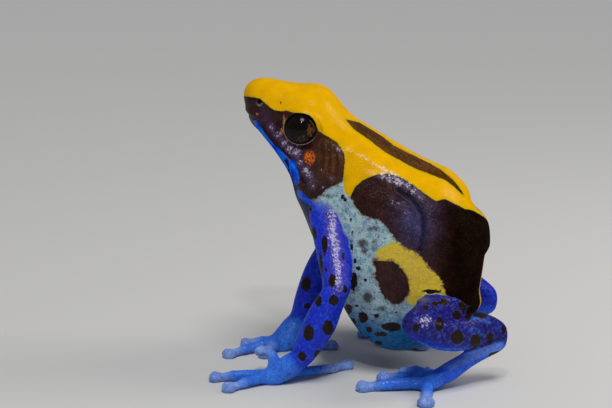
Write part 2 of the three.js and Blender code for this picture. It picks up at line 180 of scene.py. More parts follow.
# the tarsus's top, where a paler blue is laid as painted light
TARSUS_BAND = [
    (462, 353), (475, 349.5), (490, 344), (503, 341.5), (506, 346), (500, 352), (480, 358), (450, 372),
    (440, 366),
]

# Spots in the photograph: the middle and the two half axes of each, in its pixels
FLANK_SPOTS = [
    (342.6, 196.4, 1.8, 2.6), (345.2, 200, 1.8, 2.2), (348.4, 214, 1.4, 1.8), (350.7, 219.4, 1.4, 2.4),
    (351.8, 233, 1.6, 3), (350.4, 249, 2.4, 6), (354.7, 261, 1.8, 2.6), (358.2, 268.7, 3, 2.8),
    (353, 281, 3.8, 10), (365.6, 259.6, 1.4, 1.6), (365.6, 279.6, 1.8, 2.2), (356.9, 305.8, 1.8, 1.8),
    (347.7, 309.3, 4.2, 4.8), (363.4, 316.9, 4.8, 5.8), (376.4, 315.8, 2.7, 2.7),
    (395.4, 312.5, 2, 1.4), (350.4, 322.3, 6, 4), (391.6, 326.6, 9.5, 5), (369.4, 329.3, 3, 3.2),
    (359, 334.2, 3.5, 3.5), (380.8, 334.2, 6.5, 3), (367.8, 337.5, 2, 1.5), (378.6, 342.9, 4.5, 2),
    # the last of these, at (431, 291.5), is a painted shadow where the thigh's top meets the flank
    (294, 183, 1.6, 1.4), (293.3, 170, 2, 3), (303, 196, 1.6, 2.4), (431, 291.5, 9, 2.2),
]
SOFT_SPOTS = [
    (373.6, 228.6, 6, 2.4), (362.5, 243, 5, 4.4), (364.4, 251, 3, 3), (367.9, 297.4, 5, 5.4),
    (382.2, 309.5, 4, 2.2), (374.5, 244, 1.6, 4), (328.9, 196.5, 3, 2.4),
]
ARM_SPOTS = [
    (310.7, 208.9, 1.9, 2), (319, 215.1, 1.4, 1.6), (327.8, 214.7, 2, 4.5), (314, 233.8, 2.9, 6),
    (324.9, 244.1, 2.6, 9), (343.3, 256.7, 1.6, 5.5), (320.9, 265.9, 1.9, 10), (326, 269.4, 1.6, 3),
    (331.8, 280.8, 3.8, 6.5), (345, 288.9, 2.2, 4), (318.6, 300.9, 4, 5.7), (333.6, 300.3, 5.2, 5.2),
    (308.9, 333.6, 5.7, 8.3), (328, 327.9, 5.5, 7.5), (302, 356.6, 4.4, 4.6), (318.6, 356.6, 4.1, 7.1),
    (325.5, 310.7, 1.1, 2.8),
]
LEG_SPOTS = [
    (457.2, 337.5, 6.3, 7.6), (475.1, 340.7, 5.6, 6.7), (489.7, 337.5, 3.9, 6),
    (503.3, 329.9, 2.4, 5.4), (439.3, 324.4, 4.9, 7), (456.7, 315.2, 4.6, 4.9), (468, 315.8, 3.3, 4.9),
    (481.6, 314.7, 7.6, 4), (495.7, 317.4, 2.7, 2), (416, 327.7, 3.3, 4.3), (425.8, 307.6, 3, 2.7),
    (414.4, 310.4, 1.5, 2.8), (435.5, 303.3, 3.8, 2.4), (444.2, 301.7, 4.8, 3.4), (461, 303.9, 3, 2.2),
    (439.3, 339.6, 1.1, 2.4), (496.8, 355.9, 9, 5),
]
FAR_ARM_SPOTS = [(306, 284.3, 5, 7), (307, 306, 3.4, 3), (292, 318.7, 3, 2.4)]
GOLD_MARKS = [(256.9, 114.1, 1.1, 1.0), (283.9, 120.8, 1.1, 4.4), (281.9, 131.3, 1.2, 2.8)]
RED_MARKS = [(280.8, 102.8, 0.8, 1.7)]

# Spots where the photograph shows none: how far apart, their least and greatest radius, and the seed
BELLY_SCATTER = (2.4, (0.45, 1.1), 3)
LIMB_SCATTER = (2.5, (0.5, 0.95), 5)

# Glints painted as pale grains, in the photograph: the middle, the reach and the strength of each patch
PAINTED_GLINTS = [
    (271.5, 126.5, 3.5, 0.6), (278, 134.5, 4, 0.75), (284, 143, 4.5, 0.85), (290, 149, 4.5, 1),
    (296, 152, 5, 1), (299.5, 163, 3.5, 0.8), (305.5, 170, 4, 1), (309, 175.5, 4, 0.75),
    (311, 181, 4.5, 0.6), (312.5, 187, 4, 0.45), (339, 150, 3.5, 0.6), (331.5, 178.5, 2.5, 0.5),
    (323, 187, 2.2, 0.5), (382, 175.5, 4, 0.9), (391, 178, 5, 1), (399, 181.5, 5, 1),
    (407, 186, 5, 0.9), (414, 191.5, 4.5, 0.75), (420, 198, 4, 0.6), (393, 201, 4, 0.45),
    (399, 205, 4, 0.55), (405, 210, 4, 0.45), (425.5, 321.5, 6.4, 1),
]
# the line of painted glints down the upper arm, and its width
ARM_GLINT_LINE = [(332.5, 206), (332, 222), (334, 240), (336, 256), (338.5, 272), (338.5, 287)]
ARM_GLINT_WIDTH = 4.8
# painted glints along the shoulder's ridge
RIDGE_GLINT = (0.75, 2.2)  # strength and width along the shoulder's ridge

# Places and widths of the shaded colours in the photograph, in its pixels
HIP_COLUMNS = (440, 448)
HIP_ROWS = (288, 296)
BELLY_COLUMN = 385
BELLY_ROWS = (306, 338)
# width of the painted lavender sheen along the upper arm's glints
ARM_SHEEN_WIDTH = 8.0
SHOULDER_ROWS = (202, 213)
SHOULDER_COLUMNS = (312, 320)
THROAT_COLUMNS = (310, 320)
THROAT_ROWS = (245, 265)
# the painted highlight on the thigh's top
THIGH_HIGHLIGHT_PLACE = (421, 299.5, 8, 2.5)
RUMP_COLUMNS = (425, 458)
# the place of the painted bluish sheen on the flank's dark patch
FLANK_SHEEN_PLACE = (415, 222, 17, 26)
LIP_COLUMNS = (252, 266)
LIP_SHADE_WIDTH = 9.0
MASK_SHADE = (332, 156, 13, 20)
MASK_SHADE_WIDTH = 1.1  # as a share of its half axes
EARDRUM_AXES = (6.8, 8.2)
NOSTRIL_AXES = (1.6, 2.0)
# the painted highlight on the bank under the nostril
NOSTRIL_RIM = (1.8, 0.45)  # place and width, as a share of the nostril
NOSTRIL_RIM_COLUMNS = 2.2
NOSTRIL_RIM_ROWS = (0.5, 2.5)
JAW_COLUMNS = (292, 300)
JAW_ROWS = (122, 128)
# width of the painted shade in the tarsus's crease
TARSUS_CREASE_SHADE_WIDTH = 1.0
STREAK_WIDTH = 1.2
# width of the painted shade in the neck's wrinkles
WRINKLE_SHADE_WIDTH = 1.8
# width of the painted shade in the flank's crease
FLANK_CREASE_SHADE_WIDTH = 1.4

# Digits: the joint and the tip of each, first to last
DIGITS = {
    "finger_left": [
        ((-5.2, -6.6, 0.85), (-0.9, -2.6, 0.4)),
        ((-12.2, -6.9, 3.9), (-14.2, -6.1, 3.2)),
        ((-16.1, -9.5, 0.95), (-20.6, -9.6, 0.4)),
        ((-14.6, -12.1, 0.95), (-18.2, -14.7, 0.4)),
    ],
    "finger_right": [
        ((-7.4, 6.0, 0.85), (-3.0, 6.8, 0.4)),
        ((-12.6, 3.6, 1.2), (-13.8, 1.0, 0.4)),
        ((-15.2, 4.2, 0.95), (-19.4, 1.2, 0.4)),
        ((-14.6, 7.2, 0.95), (-17.4, 6.9, 0.4)),
    ],
    "toe_left": [
        ((10.6, -8.4, 1.0), (9.4, -6.0, 0.4)),
        ((8.4, -8.8, 1.7), (6.4, -6.6, 0.4)),
        ((6.8, -9.9, 1.0), (3.0, -8.6, 0.4)),
        ((5.6, -12.9, 1.0), (0.1, -13.2, 0.4)),
        ((9.6, -16.2, 1.0), (9.3, -20.4, 0.4)),
    ],
}
DIGITS["toe_right"] = [tuple((x, -y, z) for x, y, z in joints) for joints in DIGITS["toe_left"]]
REAR_FINGER = (-3.6, -5.2, 0.8)  # the pale middle of the left hand's rear finger

# Making the one skin
EYES = ("eye_left", "eye_right")
FLESH = [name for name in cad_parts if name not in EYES]
TRUNK = ("torso", "head", "lower_jaw", "eardrum")
LONG_PARTS = ("upper", "forearm", "thigh", "shank", "tarsus")
SOLE = 0.02  # height of the flat undersides
SWELL = 0.2  # closes the gaps between the nodes before they become one skin
SAME_CORNER = 0.001
LEAST_LENGTH = 1e-9  # keeps a line of no length from dividing by nothing
COARSE_VOXEL = 0.32
FINE_VOXEL = 0.36
TRUNK_ROUNDS = 46  # of smoothing
LIMB_ROUNDS = 12
EVEN_ROUNDS = 3
DIGIT_FADE = 4  # rounds in which the digits and hands fade into the limbs
TRUNK_FILL = 0.12  # what each part keeps of the swelling, against the loss by smoothing
DIGIT_FILL = 0.26
HAND_FILL = 0.3
LID_MOUND_SHIFT = (0.15, 0.35, 0.15)
LID_MOUND_RADII = (3.2, 2.75, 2.95)
BORDER_ROUNDS = 9
BORDER_WIDTH = 2.2  # millimetres over which the trunk's share falls from all to none in those rounds

# Parts of the skin with small faces
FACE_BACK = -1.0
FACE_BOTTOM = 27.0
FACE_SIDE = -2.0
SNOUT_BACK = -13.0
SNOUT_BOTTOM = 34.0
FACE_TOP = (39.8, 0.3, -14)  # its height, its slope and where along the head
FINE_RINGS = (0.85, 1.45)
FINE_DEPTH = 0.5  # how far behind the eye's middle they start
NOSTRIL_REACH = 1.0
MOUTH_REACH = 0.7
CREASE_REACH = 1.1
TIP_REACH = 2.3
BORDER_REACH = 0.6

# Lids: rings are counted from the eye's centre, with 1 on the edge of the opening
LOWER_LID = (-0.55, 0.2)  # range from the brow's side down to the lower lid
LID_SLOPE = (1.06, 1.62)
LID_EDGE = (0.95, 1.03)
LID_END = (1.5, 1.75)
LID_TOP_RING = 1.02
LID_FLATNESS = 0.85
LID_THICKNESS = 0.1
BROW_CLEARANCE = 0.08
SOCKET_DEPTH = 0.6
LID_RINGS = [(0.1, 1.06, 0.06), (-0.2, 1.24, 0.08), (0.12, 1.46, 0.12)]  # height, ring and width

# Folds of head and body: the line, its height and its width
TRUNK_FOLDS = [
    (CANTHUS_LINE, 0.26, 0.6),
    (LORE_LINE, -0.34, 1.0),
    (BROW_LINE, 0.14, 0.5),
    (SHOULDER_RIDGE, 0.12, 0.5),
    (NECK_FOLD, -0.3, 0.6),
    (FLANK_ROLL, 0.22, 0.8),
]
LIP_FOLD = (0.16, 0.45)
MOUTH_DEPTHS = (0.1, 0.34)  # at the front of the snout and behind it
MOUTH_DEEPENS = (-15, -13)
MOUTH_WIDTH = 0.2

# Grooves: the height, place and width of the bank beside each, then the groove's own depth and width
FLANK_GROOVE = (0.16, 0.7, 0.35, 0.42, 0.3)
WRINKLE_GROOVE = (0.08, 0.5, 0.25, 0.22, 0.28)
NOSTRIL_BANK = (0.2, 0.45, 0.2)
NOSTRIL_PIT = (0.65, 0.27)
NOSTRIL_BANK_RANGE = (0.0, 0.3)
EARDRUM_RIM = (0.07, 1.12, 0.12)
EARDRUM_DEPTH = 0.14
EARDRUM_RANGE = (0.75, 1.0)
EARDRUM_SIDE = 1.5  # how far from the drum, across the head, its rings still count

# Bumps of the head and of the rump's midline, which is given by x and z, each with its height and reach
HEAD_BUMPS = [(SNOUT_TIP, 0.36, 2.4), (CHIN_TIP, 0.25, 1.2)]
RUMP_BUMPS = [(15.3, 26.3, 0.22, 1.4, 3.0), (17.1, 23.5, -0.8, 1.6, 3.5)]
RUMP_DEPTH = 0.6
RUMP_RANGE = (16.0, 17.5)
RUMP_BAND = (9.0, 11.5, 16.2, 18.0)
RUMP_HALF_WIDTH = 5.0
KEEL_DEPTH = 0.45
KEEL_RANGE = (15.0, 16.5)
KEEL_ASIDE = (0.9, 2.4, 4.5, 6.5)
KEEL_BAND = (7.5, 9.5, 16.5, 18.5)

# Discs of the digits: places ahead of each disc's middle and beside it, heights and widths
DISC_BACK = 0.75
DISC_REACH = 3.2
DISC_TOP = (-0.1, 0.5)
SCUTE_HEIGHT = 0.16
SCUTE_PLACE = (0.1, 0.52)
SCUTE_STRETCH = 1.25
SCUTE_WIDTH = 0.42
CLEFT_DEPTH = 0.2
CLEFT_WIDTH = 0.16
CLEFT_RANGE = (-1.0, -0.3)
DISC_RIM = (-0.08, 1.15, 0.4)
DISC_NECK = (-0.04, -1.75, 0.5)
KNUCKLE = (0.08, -2.6, 0.35)

# Creases of the limbs: depths and widths
BORDER_GROOVE = (0.35, 0.4)
BORDER_FADES = (21, 26)
ELBOW_GROOVE = (0.4, 0.4)
LEG_GROOVES = [(THIGH_CREASE, 0.3, 0.45), (TARSUS_CREASE, 0.6, 0.4)]
ELBOW_NOTCH = (0.75, 1.3)

# The thigh's top is lowered and the back of the knee raised, both only away from the trunk
THIGH_OUTSIDE = (4.5, 7.0)
THIGH_DROP = 1.3
THIGH_HEIGHTS = (10.3, 12.6, 13.8, 18.5)
THIGH_LENGTHS = (7.0, 14.0, 15.0, 17.5)
KNEE_RISE = 0.8
KNEE_HEIGHTS = (6.5, 9.5)
KNEE_LENGTHS = (14.5, 17.5)
KNEE_OUTSIDE = (7.0, 9.0)

# Where the maps of the skin change
OUTSIDE = -9.0  # millimetres: far outside every marking
SEEN_FROM = 0.05  # the least facing of a surface that the photograph shows
TRUNK_FADE = 0.3
MEDIAN_BOTTOM = 25
MEDIAN_SLOPE = 0.2
STRIPE_GAP = 0.05
STRIPE_SPREAD = 0.3
STRIPE_INSIDE = (-0.6, -0.35)
TAIL_LINE = (14, 24)  # behind this x and below this z
TAIL_LINE_WIDTHS = (0.55, 1.3)
TAIL_LINE_RANGE = (16, 20)
FAR_KNEE = (14.0, 3.5)
BELLY_TOP = 30
BELLY_GAP = -0.3
BELLY_TURN = (-0.3, 0.0)
BELLY_HEIGHTS = (26, 30)
LEG_VIOLET_HEIGHTS = (7.0, 10.5)
LEG_VIOLET_SLOPE = (0.3, 8)
FAR_LEG_SHARE = 0.4
TARSUS_EDGE = (-0.1, 0.25)
TIP_FADE = (0.2, 3.4)
HIDDEN_TO = -0.1  # the most facing of a limb's surface that gets scattered spots
DRUM_SEEN_FROM = 0.3
DRUM_HALF_WIDTH = 1.05  # millimetres
BELLY_CURVE = 0.25  # how much the belly's blue rises towards both of its ends
PALE_FLANK_RANGE = (0.0, 0.5)
GRAIN_RANGE = (-0.4, 0.8)
GRAIN_LEAST = 0.3
GLOSS_MOST = 0.32
GLOSS_LOSS = 0.3
REAR_TURN = (0.5, 0.85)
REAR_RANGE = (12, 14)
DARK_REAR_RANGE = (9, 13)
YELLOW_DULLNESS = 0.55
LID_RIM_RING = (1.06, 0.035)  # its place and width
LID_RIM_LEAN = 0.7  # how much it turns to the front
LID_RIM_RANGE = (-0.3, 0.5)

# How strongly the tints, the painted light and sheen, and the painted shade are laid over the ground and the
# dark markings
# painted sheen along the upper arm
ARM_SHEEN_SHARE = 0.8
SHOULDER_SHARE = 0.8
# painted highlight on the thigh's top
THIGH_HIGHLIGHT_SHARE = 0.6
# painted light on the tarsus's top
LIT_TARSUS_SHARE = 0.9
# painted shade in the creases
CREASE_SHADE_SHARE = 0.85
# painted shade in the neck's wrinkles
WRINKLE_SHADE_SHARE = 0.8
# how strongly the painted lilac sheen under the painted glints is laid
GLINT_LILAC_SHARE = 0.6

# Rounds over which a painted part fades into the next one
SHADE_ROUNDS = 2
GLOSS_ROUNDS = 4
LEG_ROUNDS = 6
DIGIT_ROUNDS = 10

# Colours of the skin's maps, as the light's share of red, green and blue
ROYAL_BLUE = (0.012, 0.04, 0.72)
LEG_VIOLET = (0.02, 0.012, 0.17)
# painted sheen: the lavender under the upper arm's glints
ARM_SHEEN_LAVENDER = (0.11, 0.06, 0.32)
SHOULDER_PALE = (0.2, 0.33, 0.62)
BRIGHT_BLUE = (0.03, 0.15, 0.95)
# painted highlight: the pale grey on the thigh's top
THIGH_HIGHLIGHT_COLOUR = (0.25, 0.24, 0.2)
# painted light: the paler blue of the tarsus's top
PAINTED_TARSUS_LIGHT = (0.15, 0.32, 0.95)
# painted shade in the creases and the nostril's pit
PAINTED_RECESS_SHADE = (0.003, 0.003, 0.03)
HAND_BLUE = (0.05, 0.24, 0.92)
TIP_PALE = (0.3, 0.47, 0.85)
THROAT_BLUE = (0.005, 0.015, 0.09)
FLANK_GREY = (0.42, 0.6, 0.62)
BELLY_BLUE = (0.01, 0.2, 0.42)
DARK_BROWN = (0.035, 0.012, 0.01)
BACK_BLACK = (0.009, 0.004, 0.002)
# painted sheen: the slate-violet on the flank's dark patch
PAINTED_FLANK_SHEEN = (0.05, 0.048, 0.13)
LIP_PURPLE = (0.05, 0.02, 0.05)
# painted sheen: the lilac under the painted glints
GLINT_LILAC = (0.15, 0.11, 0.19)
MASK_BROWN = (0.12, 0.048, 0.012)
STRIPE_BROWN = (0.1, 0.036, 0.004)

# Colours laid over the maps in the material. One above 1 makes a colour lighter.
BLOTCH_TINT = (0.8, 0.75, 0.85)
SPECK_TINT = (0.3, 0.35, 0.5)
TEAL_TINT = (0.28, 0.55, 0.68)
DOT_TINT = (0.12, 0.16, 0.22)
SPOT_HALO = (0.1, 0.16, 0.75)
VIOLET_TINT = (0.7, 0.4, 0.55)
RIPPLE_BLUE = (0.05, 0.2, 0.95)
STREAK_BLUE = (0.05, 0.28, 0.9)
DARK_BLOTCH_TINT = (0.45, 0.42, 0.42)
DARK_GRAIN_TINT = (2.4, 2.1, 2.1)
SPOT_COLOURS = ((0.004, 0.002, 0.003), (0.03, 0.014, 0.007))
SOFT_SPOT_GREY = (0.07, 0.07, 0.09)
JAW_COLOURS = ((0.0, 0.05, 0.8), (0.01, 0.2, 1.0))
YELLOW_COLOURS = ((0.78, 0.40, 0.0), (0.88, 0.46, 0.0))
YELLOW_RIM = (0.5, 0.42, 0.0)
GOLDEN_COLOURS = ((0.72, 0.56, 0.03), (0.66, 0.42, 0.07))
GOLDEN_RIM = (0.5, 0.52, 0.08)
DRUM_COLOURS = ((0.2, 0.026, 0.004), (0.85, 0.2, 0.025))
DRUM_RIM = (0.12, 0.02, 0.004)
FRINGE_BROWN = (0.22, 0.11, 0.055)
# the colour of the painted glints
GLINT_WHITE = (0.55, 0.5, 0.66)
GOLD_COLOURS = ((0.2, 0.08, 0.03), (0.62, 0.25, 0.07))
RED_MARK = (0.5, 0.02, 0.0)
# also the colour of the painted highlight under the nostril
LID_RIM = (0.36, 0.25, 0.2)
EYE_BLACK = (0.003, 0.002, 0.002)
IRIS_AMBER = (0.15, 0.05, 0.007)
FLOOR_COLOUR = (0.7, 0.69, 0.66)
SKY_COLOUR = (0.86, 0.9, 1.0)
WARM_LIGHT = (1.0, 0.97, 0.93)

# Patterns in the material: size in millimetres, detail, roughness, and between which values it shows
WOBBLE = (0.55, 3.0, 0.6)
SWAY = (1.3, 1.0)
FINE = (0.16, 1.0)
BLOTCHES = (1.6, 3.0, 0.6)
MOTTLING = (0.5, 4.0, 0.7)
SPECKS = (0.22, 2.0, 0.7, 0.5, 0.62)
TEAL = (0.7, 3.0, 0.65, 0.5, 0.62)
DOTS = (0.42, 3.0, 0.6, 0.6, 0.66)
VIOLET = (0.42, 3.0, 0.7, 0.5, 0.36)
DARK_GRAIN = (0.3, 4.0, 0.75, 0.48, 0.66)
DRUM_GRAIN = (0.26, 3.0, 0.65, 0.42, 0.6)
WETNESS = (0.9, 2.0, 0.5, 0.2, 0.9)
VEINS = (0.4, 4.0, 0.7, 0.47, 0.6)
GRANULE_SIZE = 0.21
GRANULE_HEIGHT = 0.09
# the grain size of the painted glints
GLINT_GRAIN_SIZE = 0.24

# Values of the blotches, the mottling or a map between which a colour comes in
GROUND_BLOTCHES = (0.4, 0.62)
DARK_BLOTCHES = (0.3, 0.75)
YELLOW_BLOTCHES = (0.3, 0.7)
JAW_BLOTCHES = (0.35, 0.65)
GOLDEN_MOTTLING = (0.4, 0.6)
RIPPLE_MOTTLING = (0.5, 0.64)
STREAK_MOTTLING = (0.35, 0.55)
FRINGE_MOTTLING = (0.35, 0.6)
HALO_RANGE = (-0.22, -0.04)
YELLOW_RIM_RANGE = (0.05, 0.4)
RIM_RANGE = (0.0, 0.5)
GOLD_GRAIN = (-0.1, 0.1)

# How strongly the colours are laid over the maps
SPECK_SHARE = 0.35
TEAL_SHARE = 0.75
DOT_SHARE = 0.8
HALO_SHARE = 0.2
VIOLET_SHARE = 0.6
RIPPLE_SHARE = 0.3
STREAK_SHARE = 0.55
YELLOW_RIM_SHARE = 0.6
FRINGE_SHARE = 0.8

# Painted glints, as pale grains: what their map, the wobble and their grains count, and between which values
# they show
GLINT_WEIGHTS = (0.8, 1.2, 0.7)
GLINT_SHOWS = (0.72, 1.15)
GLINT_GRANULES = (0.75, 0.3)
GLINT_STARTS = (0.01, 0.15)

# Rings of the iris, and how much of it shows in its upper front, against all in its lower rear
IRIS_BAND = (0.42, 0.5, 0.86, 0.96)
IRIS_LEAST = 0.04
IRIS_LEAN = (0.6, 0.9)  # how much it turns down and to the rear
IRIS_RANGE = (0.1, 1.0)


def place(x, y, z):
    return Vector(((x + FRAME_X) * MM, (y + FRAME_Y) * MM, z * MM))


def camera_axes():
    """The photograph's camera: where it is, and its right, up and forward directions."""
    towards = np.array(
        [
            math.sin(CAMERA_TURN) * math.cos(CAMERA_RISE),
            -math.cos(CAMERA_TURN) * math.cos(CAMERA_RISE),
            math.sin(CAMERA_RISE),
        ]
    )
    right = np.array([math.cos(CAMERA_TURN), math.sin(CAMERA_TURN), 0.0])
    eye = np.array(CAMERA_AIM) + towards * CAMERA_DISTANCE
    return eye, right, np.cross(right, -towards), -towards


def deselect_all():
    if bpy.context.object and bpy.context.object.mode != "OBJECT":
        bpy.ops.object.mode_set(mode="OBJECT")
    bpy.ops.object.select_all(action="DESELECT")


def make_active(obj):
    deselect_all()
    obj.select_set(True)
    bpy.context.view_layer.objects.active = obj


def add_modifier(obj, kind, **settings):
    modifier = obj.modifiers.new(kind.title(), kind)
    for name, value in settings.items():
        setattr(modifier, name, value)
    make_active(obj)
    bpy.ops.object.modifier_apply(modifier=modifier.name)


def settle(obj):
    """Puts a piece's place, turn and size into its mesh."""
    make_active(obj)
    bpy.ops.object.transform_apply(location=True, rotation=True, scale=True)


def joined(objects):
    deselect_all()
    for obj in objects:
        obj.select_set(True)
    bpy.context.view_layer.objects.active = objects[0]
    bpy.ops.object.join()
    return bpy.context.object


def points_of(obj):
    """The vertices of a piece in the frog's millimetres."""
    places = np.zeros(len(obj.data.vertices) * 3)
    obj.data.vertices.foreach_get("co", places)
    return places.reshape(-1, 3) / MM - (FRAME_X, FRAME_Y, 0)


def normals_of(obj):
    normals = np.zeros(len(obj.data.vertices) * 3)
    obj.data.vertex_normals.foreach_get("vector", normals)
    return normals.reshape(-1, 3)


def set_points(obj, points):
    obj.data.vertices.foreach_set("co", ((points + (FRAME_X, FRAME_Y, 0)) * MM).ravel())
    obj.data.update()


def flesh_copy(name):
    """A loose copy of a CAD node's mesh."""
    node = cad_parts[name]
    copy = bpy.data.objects.new("flesh_" + name, node.data.copy())
    copy.data.materials.clear()
    bpy.context.scene.collection.objects.link(copy)
    return copy


def swollen_flesh():
    """All flesh nodes as one object whose shells overlap a little."""
    flesh = joined([flesh_copy(name) for name in FLESH])
    bpy.ops.object.mode_set(mode="EDIT")
    bpy.ops.mesh.select_all(action="SELECT")
    bpy.ops.mesh.remove_doubles(threshold=SAME_CORNER * MM)
    bpy.ops.transform.shrink_fatten(value=SWELL * MM)
    bpy.ops.object.mode_set(mode="OBJECT")
    return flesh


def ball(name, centre, radii, turn=None, segments=32):
    """An ellipsoid at its place, turned so that its local -Y looks along a direction."""
    bpy.ops.mesh.primitive_uv_sphere_add(segments=segments, ring_count=segments // 2, radius=MM)
    obj = bpy.context.object
    obj.name = name
    obj.scale = radii
    if turn is not None:
        obj.rotation_euler = Vector(turn).to_track_quat("-Y", "Z").to_euler()
    obj.location = place(*centre)
    settle(obj)
    return obj


def nearest_nodes(points):
    """The number in FLESH of the CAD node nearest to each point."""
    corners = []
    faces = []
    owners = []
    for number, name in enumerate(FLESH):
        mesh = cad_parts[name].data
        offset = len(corners)
        corners.extend(vertex.co / MM for vertex in mesh.vertices)
        for polygon in mesh.polygons:
            faces.append([offset + corner for corner in polygon.vertices])
            owners.append(number)
    tree = BVHTree.FromPolygons(corners, faces)
    shift = Vector((FRAME_X, FRAME_Y, 0))
    return np.array([owners[tree.find_nearest(Vector(point) + shift)[2]] for point in points])


def edge_pairs(obj):
    pairs = np.zeros(len(obj.data.edges) * 2, dtype=np.int64)
    obj.data.edges.foreach_get("vertices", pairs)
    return pairs.reshape(-1, 2)


def spread(values, pairs, rounds):
    """Evens out values over the mesh, each round with the neighbours of each vertex."""
    values = values.astype(float)
    first, second = pairs[:, 0], pairs[:, 1]
    count = np.bincount(pairs.ravel(), minlength=len(values))
    for _ in range(rounds):
        total = np.bincount(first, values[second], len(values))
        total += np.bincount(second, values[first], len(values))
        values = 0.5 * values + 0.5 * total / np.maximum(count, 1)
    return values


def relax(obj, weights, rounds, strength=0.5):
    """Smooths the surface where the weights are high."""
    pairs = edge_pairs(obj)
    first, second = pairs[:, 0], pairs[:, 1]
    points = points_of(obj)
    count = np.maximum(np.bincount(pairs.ravel(), minlength=len(points)), 1)
    share = (weights * strength)[:, None]
    for _ in range(rounds):
        total = np.stack(
            [
                np.bincount(first, points[second, axis], len(points))
                + np.bincount(second, points[first, axis], len(points))
                for axis in range(3)
            ],
            axis=1,
        )
        points = points + share * (total / count[:, None] - points)
    set_points(obj, points)


def region_weight(owners, words, pairs, rounds=12):
    """1 on the nodes whose names start with one of the words, fading to 0 across their borders."""
    return spread(part_of(owners, *words), pairs, rounds)


def part_of(owners, *words):
    """True where the nearest node's name starts with one of the words."""
    return np.isin(owners, [number for number, name in enumerate(FLESH) if name.startswith(words)])


def trunk_border(skin, owners):
    """How far, in about millimetres, each vertex lies inside the trunk."""
    hip = outline_distance(photo_pixels(folded(points_of(skin))), HIP_TOP) > 0
    trunk = part_of(owners, *TRUNK) | (part_of(owners, "thigh") & hip)
    return (spread(trunk, edge_pairs(skin), BORDER_ROUNDS) - 0.5) * BORDER_WIDTH


def lid_mound(side):
    """The swelling round one eye."""
    x, y, z = np.array(EYE) + LID_MOUND_SHIFT
    return ball("lid_mound", (x, y * side, z), LID_MOUND_RADII)


def build_skin():
    """The whole skin as one closed mesh, smoothed most on the trunk and least on the digits."""
    skin = swollen_flesh()
    skin.name = "skin"
    add_modifier(skin, "REMESH", mode="VOXEL", voxel_size=COARSE_VOXEL * MM)
    owners = nearest_nodes(points_of(skin))
    pairs = edge_pairs(skin)
    relax(skin, region_weight(owners, TRUNK, pairs), TRUNK_ROUNDS)
    relax(skin, region_weight(owners, LONG_PARTS, pairs), LIMB_ROUNDS)
    relax(skin, np.ones(len(owners)), EVEN_ROUNDS)
    shrink = SWELL - TRUNK_FILL * region_weight(owners, TRUNK, pairs)
    shrink -= DIGIT_FILL * region_weight(owners, ("finger", "toe"), pairs, DIGIT_FADE)
    shrink -= HAND_FILL * region_weight(owners, ("hand",), pairs, DIGIT_FADE)
    set_points(skin, points_of(skin) - shrink[:, None] * normals_of(skin))
    skin = joined([skin, lid_mound(1), lid_mound(-1)])
    skin.name = "skin"
    add_modifier(skin, "REMESH", mode="VOXEL", voxel_size=FINE_VOXEL * MM)
    relax(skin, np.ones(len(skin.data.vertices)), EVEN_ROUNDS)
    return skin


def half_signs(points):
    """The signs that lay the right half of the frog over its left half."""
    return np.where(points[:, 1:2] > 0, (1, -1, 1), (1, 1, 1))


def folded(points):
    return points * half_signs(points)


def unfolded(points):
    return points


def photo_pixels(points):
    """Where the photograph's camera sees the points."""
    eye, right, up, forward = camera_axes()
    offset = points - eye
    depth = offset @ forward
    column = PHOTO_SIZE[0] / 2 + FOCAL_PIXELS * (offset @ right) / depth
    row = PHOTO_SIZE[1] / 2 - FOCAL_PIXELS * (offset @ up) / depth
    return np.stack([column, row], axis=1)


def surface_tree(obj):
    points = points_of(obj)
    return BVHTree.FromPolygons(points.tolist(), [list(face.vertices) for face in obj.data.polygons])


def seen_points(tree, pixels):
    """The places on the surface that the photograph's camera sees at the pixels."""
    eye, right, up, forward = camera_axes()
    found = []
    for column, row in pixels:
        across = (column - PHOTO_SIZE[0] / 2) / FOCAL_PIXELS
        down = (row - PHOTO_SIZE[1] / 2) / FOCAL_PIXELS
        ray = Vector(forward + across * right - down * up).normalized()
        hit = tree.ray_cast(Vector(eye), ray)[0]
        if hit is not None:
            found.append(tuple(hit))
    return found


def line_distance(points, line):
    """Distance from each point to an open line through the given corners."""
    line = np.array(line, dtype=float)
    best = np.full(len(points), np.inf)
    for start, end in zip(line[:-1], line[1:]):
        along = end - start
        share = np.clip((points - start) @ along / max(along @ along, LEAST_LENGTH), 0, 1)
        best = np.minimum(best, np.linalg.norm(points - start - share[:, None] * along, axis=1))
    return best


def outline_distance(pixels, outline):
    """Millimetres from each pixel to a closed outline in the photograph, positive inside it."""
    corners = np.array(outline, dtype=float)
    x, y = pixels[:, 0], pixels[:, 1]
    inside = np.zeros(len(pixels), dtype=bool)
    for (x0, y0), (x1, y1) in zip(corners, np.roll(corners, -1, axis=0)):
        rise = y1 - y0 if y1 != y0 else 1.0
        inside ^= ((y0 > y) != (y1 > y)) & (x < x0 + (y - y0) / rise * (x1 - x0))
    distance = line_distance(pixels, np.vstack([corners, corners[:1]])) / PIXELS_PER_MM
    return np.where(inside, distance, -distance)


def bell(distance, width):
    return np.exp(-((distance / width) ** 2))


def ramp(values, low, high):
    """0 below low, 1 above high, and smooth between."""
    share = np.clip((values - low) / (high - low), 0, 1)
    return share * share * (3 - 2 * share)


def fall(values, low, high):
    """1 below low, 0 above high, and smooth between."""
    return ramp(-values, -high, -low)


def band(values, start, full, still, end):
    """1 between full and still, and 0 before start and after end."""
    return ramp(values, start, full) * (1 - ramp(values, still, end))


def blend(first, second, share):
    return first + (second - first) * share


def lay(colours, colour, share):
    """Lays one colour over the vertices' colours, as strongly as the share of each says."""
    colours += share[:, None] * (np.array(colour) - colours)


